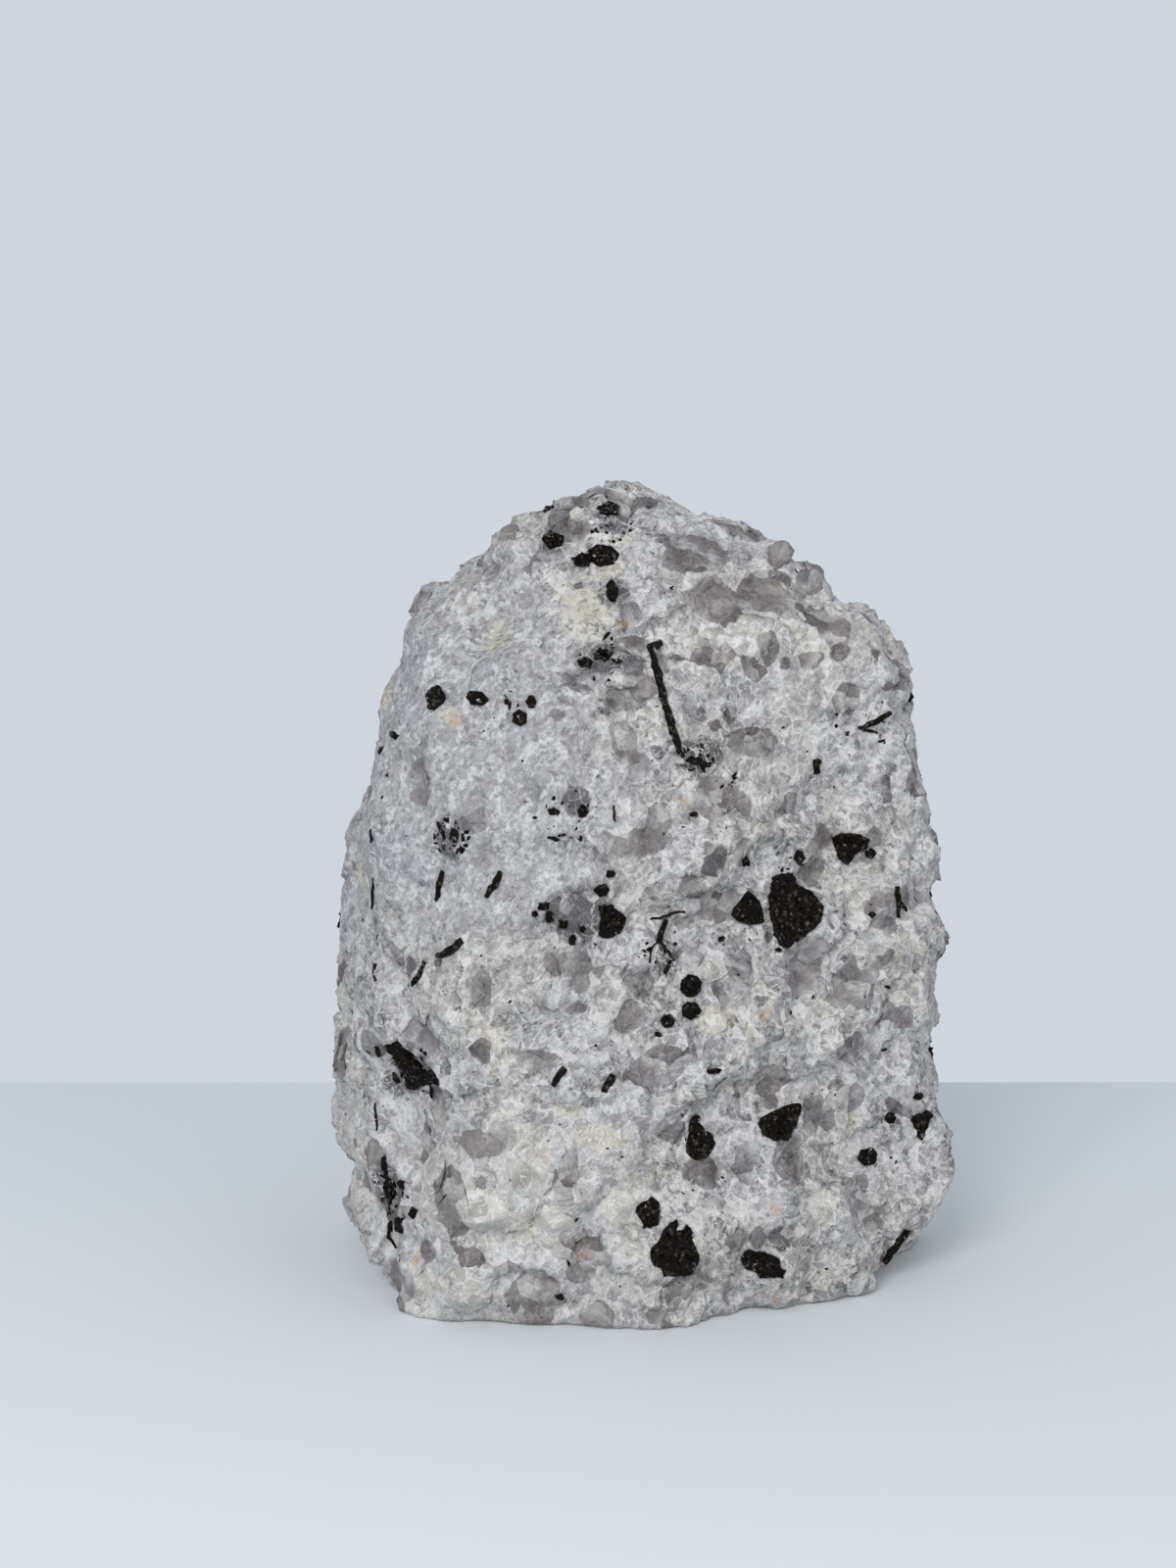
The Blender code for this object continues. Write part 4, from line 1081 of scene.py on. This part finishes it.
class Shader:
    """A node tree that is written as nested calls and sums."""

    def __init__(self, name):
        self.material = bpy.data.materials.new(name)
        self.material.use_nodes = True
        self.tree = self.material.node_tree
        self.surface = self.tree.nodes["Principled BSDF"]

    def node(self, kind, inputs=None, output=0, **settings):
        made = self.tree.nodes.new(kind)
        for key, value in settings.items():
            setattr(made, key, value)
        for key, value in (inputs or {}).items():
            self.feed(made.inputs[key], value)
        return Value(self, made.outputs[output])

    def feed(self, socket, value):
        if isinstance(value, Value):
            self.tree.links.new(value.socket, socket)
        elif isinstance(value, bpy.types.NodeSocket):
            self.tree.links.new(value, socket)
        else:
            socket.default_value = value

    def finish(self, inputs):
        """The material, once its surface has these inputs."""
        for name, value in inputs.items():
            self.feed(self.surface.inputs[name], value)
        return self.material

    def maths(self, operation, *values, clamp=False):
        return self.node("ShaderNodeMath", dict(enumerate(values)), operation=operation, use_clamp=clamp)

    def vector(self, operation, *values):
        return self.node("ShaderNodeVectorMath", dict(enumerate(values)), operation=operation)

    def blend(self, share, first, second):
        inputs = {"Factor": share, "A": first, "B": second}
        return self.node("ShaderNodeMix", inputs, output="Result", data_type="RGBA")

    def edge(self, value, low, high):
        """0 below low, 1 above high, smooth between."""
        settings = {"Value": value, "From Min": low, "From Max": high}
        return self.node("ShaderNodeMapRange", settings, interpolation_type="SMOOTHSTEP")

    def attribute(self, name):
        return self.node("ShaderNodeAttribute", output="Fac", attribute_name=name)

    def place(self):
        """The surface's place in millimetres."""
        return self.vector("MULTIPLY", self.node("ShaderNodeTexCoord", output="Object"), (1 / MM,) * 3)

    def noise(self, place, size, detail=3.0, roughness=0.6, output="Fac"):
        settings = {"Vector": place, "Scale": 1.0 / size, "Detail": detail, "Roughness": roughness}
        return self.node("ShaderNodeTexNoise", settings, output=output)

    def shaken(self, place, size, amount):
        """The place, moved about by noise."""
        shift = self.vector("SUBTRACT", self.noise(place, size, 2.0, output="Color"), HALF)
        return self.vector("ADD", place, self.vector("MULTIPLY", shift, (amount,) * 3))

    def stretched(self, place, turn):
        """The place, drawn out one way in each grain."""
        place = self.shaken(place, 3.0, 1.0)
        settings = {"Vector": place, "Axis": (0.3, 1.0, 0.2), "Angle": turn * (2 * math.pi)}
        spun = self.node("ShaderNodeVectorRotate", settings)
        return self.node("ShaderNodeMapping", {"Vector": spun, "Scale": (0.4, 1.0, 1.3)})

    def drawn_out(self, place):
        """The place, drawn out along the rock's own grain, from upper right to lower left."""
        settings = {"Vector": self.shaken(place, 2.5, 1.2), "Rotation": (0.0, FIBRE_TURN, 0.0)}
        spun = self.node("ShaderNodeMapping", settings)
        return self.node("ShaderNodeMapping", {"Vector": spun, "Scale": FIBRE})

    def cells(self, place, size, feature="F1"):
        made = self.tree.nodes.new("ShaderNodeTexVoronoi")
        made.feature = feature
        self.feed(made.inputs["Vector"], place)
        made.inputs["Scale"].default_value = 1.0 / size
        return made

    def pick(self, cell, channel):
        """A random number from 0 to 1 for each cell."""
        return self.node("ShaderNodeSeparateColor", {0: cell.outputs["Color"]}, output=channel)

    def ramp(self, place, cell, size):
        """A soft slope across each cell, below 0 on its one side and above 0 on its other. As tone it darkens
        one side of each cell: partly the grain's own change of tone, partly painted facet shade.
        """
        offset = self.vector("SUBTRACT", place, cell.outputs["Position"])
        way = self.vector("SUBTRACT", cell.outputs["Color"], HALF)
        both = {0: offset, 1: way}
        slope = self.node("ShaderNodeVectorMath", both, output="Value", operation="DOT_PRODUCT")
        return slope * (3.0 / size)

    def leaned(self, normal, cell, tilt):
        """The normal, leaned one way for each cell, so that each cell looks like a flat of its own."""
        lean = self.vector("SUBTRACT", cell.outputs["Color"], HALF)
        made = self.node("ShaderNodeVectorMath", {0: lean, 3: tilt}, operation="SCALE")
        return self.vector("ADD", normal, made)

    def bump(self, normal, height, strength):
        """A normal with small bumps on it, whose height is in millimetres."""
        level = self.vector("NORMALIZE", normal)
        settings = {"Strength": strength, "Distance": MM, "Height": height, "Normal": level}
        return self.node("ShaderNodeBump", settings)


HALF = (0.5, 0.5, 0.5)
# The rock's own grain: its turn, and how it draws places out.
FIBRE_TURN = 0.95
FIBRE = (0.33, 1.0, 1.0)
# The sizes of the cells in the shader: blocks, flakes, crumbs and the tourmaline's small faces.
BLOCK = 3.4
FLAKE = 1.4
CRUMB = 0.6
FACE = 0.32

WHITE = (0.398, 0.398, 0.408, 1.0)
FROST = (0.51, 0.51, 0.515, 1.0)
MILKY = (0.262, 0.255, 0.265, 1.0)
BLUISH = (0.310, 0.322, 0.345, 1.0)
WARM = (0.395, 0.380, 0.345, 1.0)
PALE = (0.405, 0.397, 0.372, 1.0)
# The painted shade of the pale calm crystals: a darker copy of PALE for their shaded sides.
CALM_PAINTED_SHADE = (0.265, 0.254, 0.236, 1.0)
WARM_SMOKE = (0.145, 0.125, 0.114, 1.0)
VEIN = (0.60, 0.60, 0.60, 1.0)
GRIT = (0.185, 0.178, 0.182, 1.0)
LILAC = (0.146, 0.130, 0.137, 1.0)
SMOKE = (0.070, 0.060, 0.064, 1.0)
SOOTY = (0.060, 0.057, 0.063, 1.0)
CREAM = (0.43, 0.407, 0.338, 1.0)
RUST = (0.42, 0.30, 0.20, 1.0)
BLACK = (0.0010, 0.0006, 0.0005, 1.0)
BLACK_BROWN = (0.0065, 0.0045, 0.0032, 1.0)
# A painted glint: the lighter brown-grey that some of the tourmaline's small faces get in place of
# highlights.
PAINTED_GLINT = (0.075, 0.061, 0.052, 1.0)
CHIP = (0.40, 0.37, 0.34, 1.0)


class StoneShader(Shader):
    """The pale rock's shader, with the values that its parts share."""

    def __init__(self, name):
        super().__init__(name)
        self.spot = self.place()
        self.loose = self.shaken(self.spot, 1.6, 0.7)
        self.tight = self.shaken(self.spot, 0.6, 0.3)
        self.tone = self.attribute("tone")
        self.sugar = self.attribute("sugar")
        self.calm = self.attribute("calm")
        self.lively = 1.0 - self.calm * 0.9
        self.coarse = 1.0 - self.sugar * 0.7
        self.crisp = self.coarse * self.lively
        self.block = self.cells(self.loose, BLOCK)
        self.flake = self.cells(self.loose, FLAKE)
        self.crumb = self.cells(self.tight, CRUMB)
        self.block_pick = self.pick(self.block, 1)
        self.flake_pick = self.pick(self.flake, 0)
        self.crumb_pick = self.pick(self.crumb, 2)
        # Darker to one side of each block: partly painted facet shade.
        self.block_ramp = self.ramp(self.loose, self.block, BLOCK)
        self.mottle = self.noise(self.tight, 0.5, 3.0, 0.65)
        self.fibres = self.noise(self.drawn_out(self.spot), 0.6, 4.0)
        self.lines = self.noise(self.stretched(self.spot, self.block_pick), 1.3)
        self.wobble = self.noise(self.spot, 0.9, 4.0) - 0.5
        self.glassy = self.edge(self.attribute("glass") + self.wobble * 0.4, -0.05, 0.07)


def milky_grey(s):
    """How grey the milky rock is, from its grains, flakes, clouds and fibres; each block and flake is greyer
    to one side, partly as painted facet shade.
    """
    grey = s.tone * 0.45 + s.noise(s.spot, 7.0, 3.0, 0.55) * 0.5 + s.block_ramp * 0.5
    grey += s.ramp(s.loose, s.flake, FLAKE) * s.crisp * 0.6
    grey += (s.flake_pick - 0.5) * (s.crisp * 0.7)
    grey += ((0.5 - s.mottle) + (0.5 - s.fibres)) * (1.5 + s.sugar * 2.0)
    drift = s.noise(s.drawn_out(s.spot), 2.2) - 0.5
    return grey + drift * (s.sugar * 2.4)


def milky_colour(s):
    """White feldspar and milky quartz: frosty in places, bluish where sugary, even where calm, with a painted
    shade on one side of each calm block.
    """
    grey = milky_grey(s)
    white = s.blend(s.edge(s.noise(s.spot, 11.0, 2.0), 0.44, 0.58), WHITE, WARM)
    white = s.blend(s.sugar * 0.9, white, BLUISH)
    colour = s.blend(s.edge(grey, 0.15, 1.05), white, MILKY)
    colour = s.blend(s.edge(grey, 0.28, -0.25) * 0.75, colour, FROST)
    # Where calm: PALE, going over to a painted shade on one side of each block and on grains of darker tone.
    even = s.blend(s.edge(s.tone + s.block_ramp, 0.0, 1.0), PALE, CALM_PAINTED_SHADE)
    colour = s.blend(s.edge(s.calm, 0.55, 1.1), colour, even)
    dome_rim = s.edge(s.calm, 0.76, 0.79) * s.edge(s.calm, 1.02, 0.84)
    colour = s.blend(dome_rim * 0.7, colour, FROST)
    cream = s.edge(s.attribute("cream") + s.wobble, -0.2, 0.5)
    return s.blend(cream * 0.85, colour, CREAM)


def pitted_colour(s, colour):
    """The colour, with small lilac-grey spots and grey grit."""
    # Small lilac-grey spots scattered over the surface, with no hollow in it.
    grey_spots = s.edge(s.noise(s.loose, 1.2), 0.37, 0.30)
    grit = s.edge(s.crumb_pick, 0.82, 0.86) * s.lively
    return s.blend(grit * 0.55, s.blend(grey_spots * 0.55, colour, LILAC), GRIT)


def glassy_colour(s, colour):
    """The colour, with glassy quartz in it: sharp at its rim, darker to one side as partly painted shade, and
    paler on the other side and in patches as a painted sheen.
    """
    depth = s.block_pick * 0.7 + s.flake_pick * 0.2 + s.block_ramp * 0.8
    deep = s.blend(s.edge(depth, 0.1, 0.95), LILAC, SMOKE)
    deep = s.blend(s.calm * 0.5, deep, WARM_SMOKE)
    on_dome = s.edge(s.calm, 0.7, 1.0)
    # Painted sheen: the glass paler on one side of each block, less so on the large crystals.
    fade = 0.98 - s.edge(s.block_ramp, -0.15, -0.6) * (0.5 - on_dome * 0.45)
    strength = 0.78 + s.edge(s.noise(s.spot, 5.0, 1.0), 0.42, 0.56) * 0.22
    strength *= 1.0 - s.sugar * 0.2
    upper = s.edge(s.node("ShaderNodeSeparateXYZ", {0: s.spot}, output=2), 40.0, 60.0)
    strength = s.maths("ADD", strength, upper * s.calm, clamp=True)
    # Painted sheen: paler patches in the glass.
    sheen = s.edge(s.noise(s.loose, 2.4, 2.0), 0.50, 0.64) * 0.35
    return s.blend(s.glassy * fade * strength * (1.0 - sheen), colour, deep)


def marked_colour(s, colour):
    """The colour, with soot, bright cleavage lines and frosty rims of flakes, dark cracks with painted
    crevice shade at flake edges, and rust.
    """
    soot = s.edge(s.attribute("soot") + s.wobble * 1.3, -0.45, 0.0) * s.edge(s.flake_pick, 0.02, 0.3)
    colour = s.blend(soot * 0.88, colour, SOOTY)
    flake_edge = s.cells(s.loose, FLAKE, "DISTANCE_TO_EDGE").outputs["Distance"]
    line = s.edge(abs(s.lines - 0.5), 0.020, 0.004)
    seam = s.edge(flake_edge, 0.085, 0.02) * s.edge(s.noise(s.spot, 1.8, 2.0), 0.42, 0.56)
    bright = s.maths("MAXIMUM", line * 0.7, seam * 0.6) * s.coarse
    colour = s.blend(bright * (1.0 - s.glassy * 0.8), colour, VEIN)
    # Dark lines at flake edges: cracks, and painted shade in the crevices between flakes.
    crack_and_shade = s.edge(flake_edge, 0.07, 0.01) * s.edge(s.noise(s.spot, 2.6, 2.0), 0.44, 0.34)
    colour = s.blend(crack_and_shade * 0.5, colour, SMOKE)
    stain = s.edge(s.attribute("stain") + s.wobble * 1.6, 0.0, 0.9)
    return s.blend(stain * 0.65, colour, RUST)


def stone_normal(s):
    """Blocks, flakes and crumbs that each lean their own way, with fine bumps on them."""
    dull = 1.0 - s.glassy * 0.65
    normal = s.node("ShaderNodeNewGeometry", output="Normal")
    normal = s.leaned(normal, s.block, s.lively * 0.35)
    normal = s.leaned(normal, s.flake, dull * s.crisp * 0.75)
    normal = s.leaned(normal, s.crumb, dull * s.lively * 0.75)
    height = (s.lines * 0.2 + s.fibres * 0.2 + s.mottle * 0.26) * (1.0 - s.calm * 0.6)
    return s.bump(normal, height, 0.8)


def stone_material():
    """Frosty white feldspar and milky quartz, with grey glassy grains, cream and rust."""
    s = StoneShader("quartz_and_feldspar")
    colour = pitted_colour(s, milky_colour(s))
    colour = marked_colour(s, glassy_colour(s, colour))
    rough = 0.36 + s.crumb_pick * 0.34 - s.glassy * 0.1
    return s.finish({"Base Color": colour, "Roughness": rough, "Normal": stone_normal(s), "IOR": 1.54})


def tourmaline_material():
    """Black-brown, with small bright chips of feldspar left on it, and painted glints on some of its small
    faces.
    """
    s = Shader("black_tourmaline")
    place = s.place()
    gathered = s.noise(place, 4.0, 1.0) * 0.2
    chips = s.edge(s.noise(s.shaken(place, 0.5, 0.9), 0.5, 3.0, 0.7) + gathered, 0.75, 0.80)
    cell = s.cells(s.shaken(place, 0.6, 0.3), FACE)
    shade = s.blend(s.noise(place, 0.6), BLACK, BLACK_BROWN)
    # Painted glints: some small faces made lighter brown-grey, as highlights would make them.
    shade = s.blend(s.edge(s.pick(cell, 1), 0.84, 1.0) * 0.75, shade, PAINTED_GLINT)
    colour = s.blend(chips, shade, CHIP)
    rough = 0.32 + s.pick(cell, 0) * 0.4
    normal = s.leaned(s.node("ShaderNodeNewGeometry", output="Normal"), cell, 0.9)
    normal = s.bump(normal, s.noise(place, 0.2, 2.0) * 0.06, 0.7)
    facts = {"Base Color": colour, "Roughness": rough, "Normal": normal}
    return s.finish({**facts, "IOR": 1.5, "Specular IOR Level": 0.08})


FLOOR_COLOUR = (0.65, 0.69, 0.71, 1.0)
FLOOR_ROUGHNESS = 0.9
FLOOR_BACK = 83.0
FLOOR_REACH = 1400.0
WALL_COLOUR = (0.624, 0.665, 0.716, 1.0)
# The soft square lights: place, target, size, watts and colour.
LIGHTS = {
    "key": ((-165, -490, 285), (0, 0, 45), 220, 2.12, (1.0, 0.975, 0.945)),
    "fill": ((330, -360, 120), (0, 0, 40), 300, 0.5, (1.0, 0.94, 0.88)),
}


def make_stage():
    """A pale floor that ends behind the stone, a pale world, and soft light from left and right."""
    corners = [(-FLOOR_REACH, -FLOOR_REACH, 0), (FLOOR_REACH, -FLOOR_REACH, 0)]
    corners += [(FLOOR_REACH, FLOOR_BACK, 0), (-FLOOR_REACH, FLOOR_BACK, 0)]
    floor = mesh_object("floor", corners, [(0, 1, 2, 3)])
    paper = Shader("pale_floor").finish({"Base Color": FLOOR_COLOUR, "Roughness": FLOOR_ROUGHNESS})
    floor.data.materials.append(paper)
    world = bpy.data.worlds.new("pale")
    bpy.context.scene.world = world
    world.use_nodes = True
    world.node_tree.nodes["Background"].inputs["Color"].default_value = WALL_COLOUR
    for name, facts in LIGHTS.items():
        add_light(name, *facts)


def add_light(name, place, target, size, power, colour):
    """A square soft light, in millimetres and watts."""
    data = bpy.data.lights.new(name, "AREA")
    data.size = size * MM
    data.energy = power
    data.color = colour
    lamp = bpy.data.objects.new(name, data)
    lamp.location = Vector(place) * MM
    lamp.rotation_euler = (Vector(target) - Vector(place)).to_track_quat("-Z", "Y").to_euler()
    bpy.context.scene.collection.objects.link(lamp)


def make_camera():
    data = bpy.data.cameras.new("camera")
    data.lens = LENS
    data.sensor_width = SENSOR
    data.clip_start = 0.01
    camera = bpy.data.objects.new("camera", data)
    camera.location = Vector(EYE) * MM
    camera.rotation_euler = (math.radians(90.0 - TILT_DOWN), 0.0, 0.0)
    bpy.context.scene.collection.objects.link(camera)
    bpy.context.scene.camera = camera
    bpy.context.scene.view_settings.view_transform = "Standard"


def put_patches(pieces, tree, random):
    """Gives the pale pieces, the skin first, the cream, rust, soot and sugar that belong to their places."""
    skin = pieces[0].data
    creams = front_patches(tree, CREAMS)
    creams += scattered_patches(points_of(skin), normals_of(skin), *HIDDEN_CREAMS, random)
    stains = front_patches(tree, [(x, z, STAIN_SIZE, STAIN_SIZE) for x, z in STAINS])
    soot = front_patches(tree, SOOT)
    for piece in pieces:
        points = points_of(piece.data)
        cream, stain, dark = (patch_depth(points, patches) for patches in (creams, stains, soot))
        put_attributes(piece.data, cream=cream, stain=stain, soot=dark, sugar=sugar_at(points))


def dress(pieces, material):
    """Gives pieces their material, and ties them to the body that they ride."""
    for piece in pieces:
        piece.data.materials.clear()
        piece.data.materials.append(material)
        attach(piece, "root")


def main():
    random = np.random.default_rng(SEED)
    make_camera()
    make_stage()
    skin = make_skin()
    broaden_skin(skin.data, random)
    tree = tree_of(skin.data)
    crystals, rooms = make_crystals(tree, random)
    grains = Grains(points_of(skin.data), normals_of(skin.data), tree, random)
    flats = grains.flats(tree, rooms, needle_spots(tree), random)
    grains.shape_skin(skin.data, random)
    make_room(skin, rooms)
    finished = tree_of(skin.data)
    needles = make_needles(finished, random)
    splinters = make_splinters(skin, finished, random)
    skin.data.shade_smooth()
    put_patches((skin, *flats), tree, random)
    dress((skin, *flats), stone_material())
    dress((crystals, needles, splinters), tourmaline_material())
    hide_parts("stone")


main()
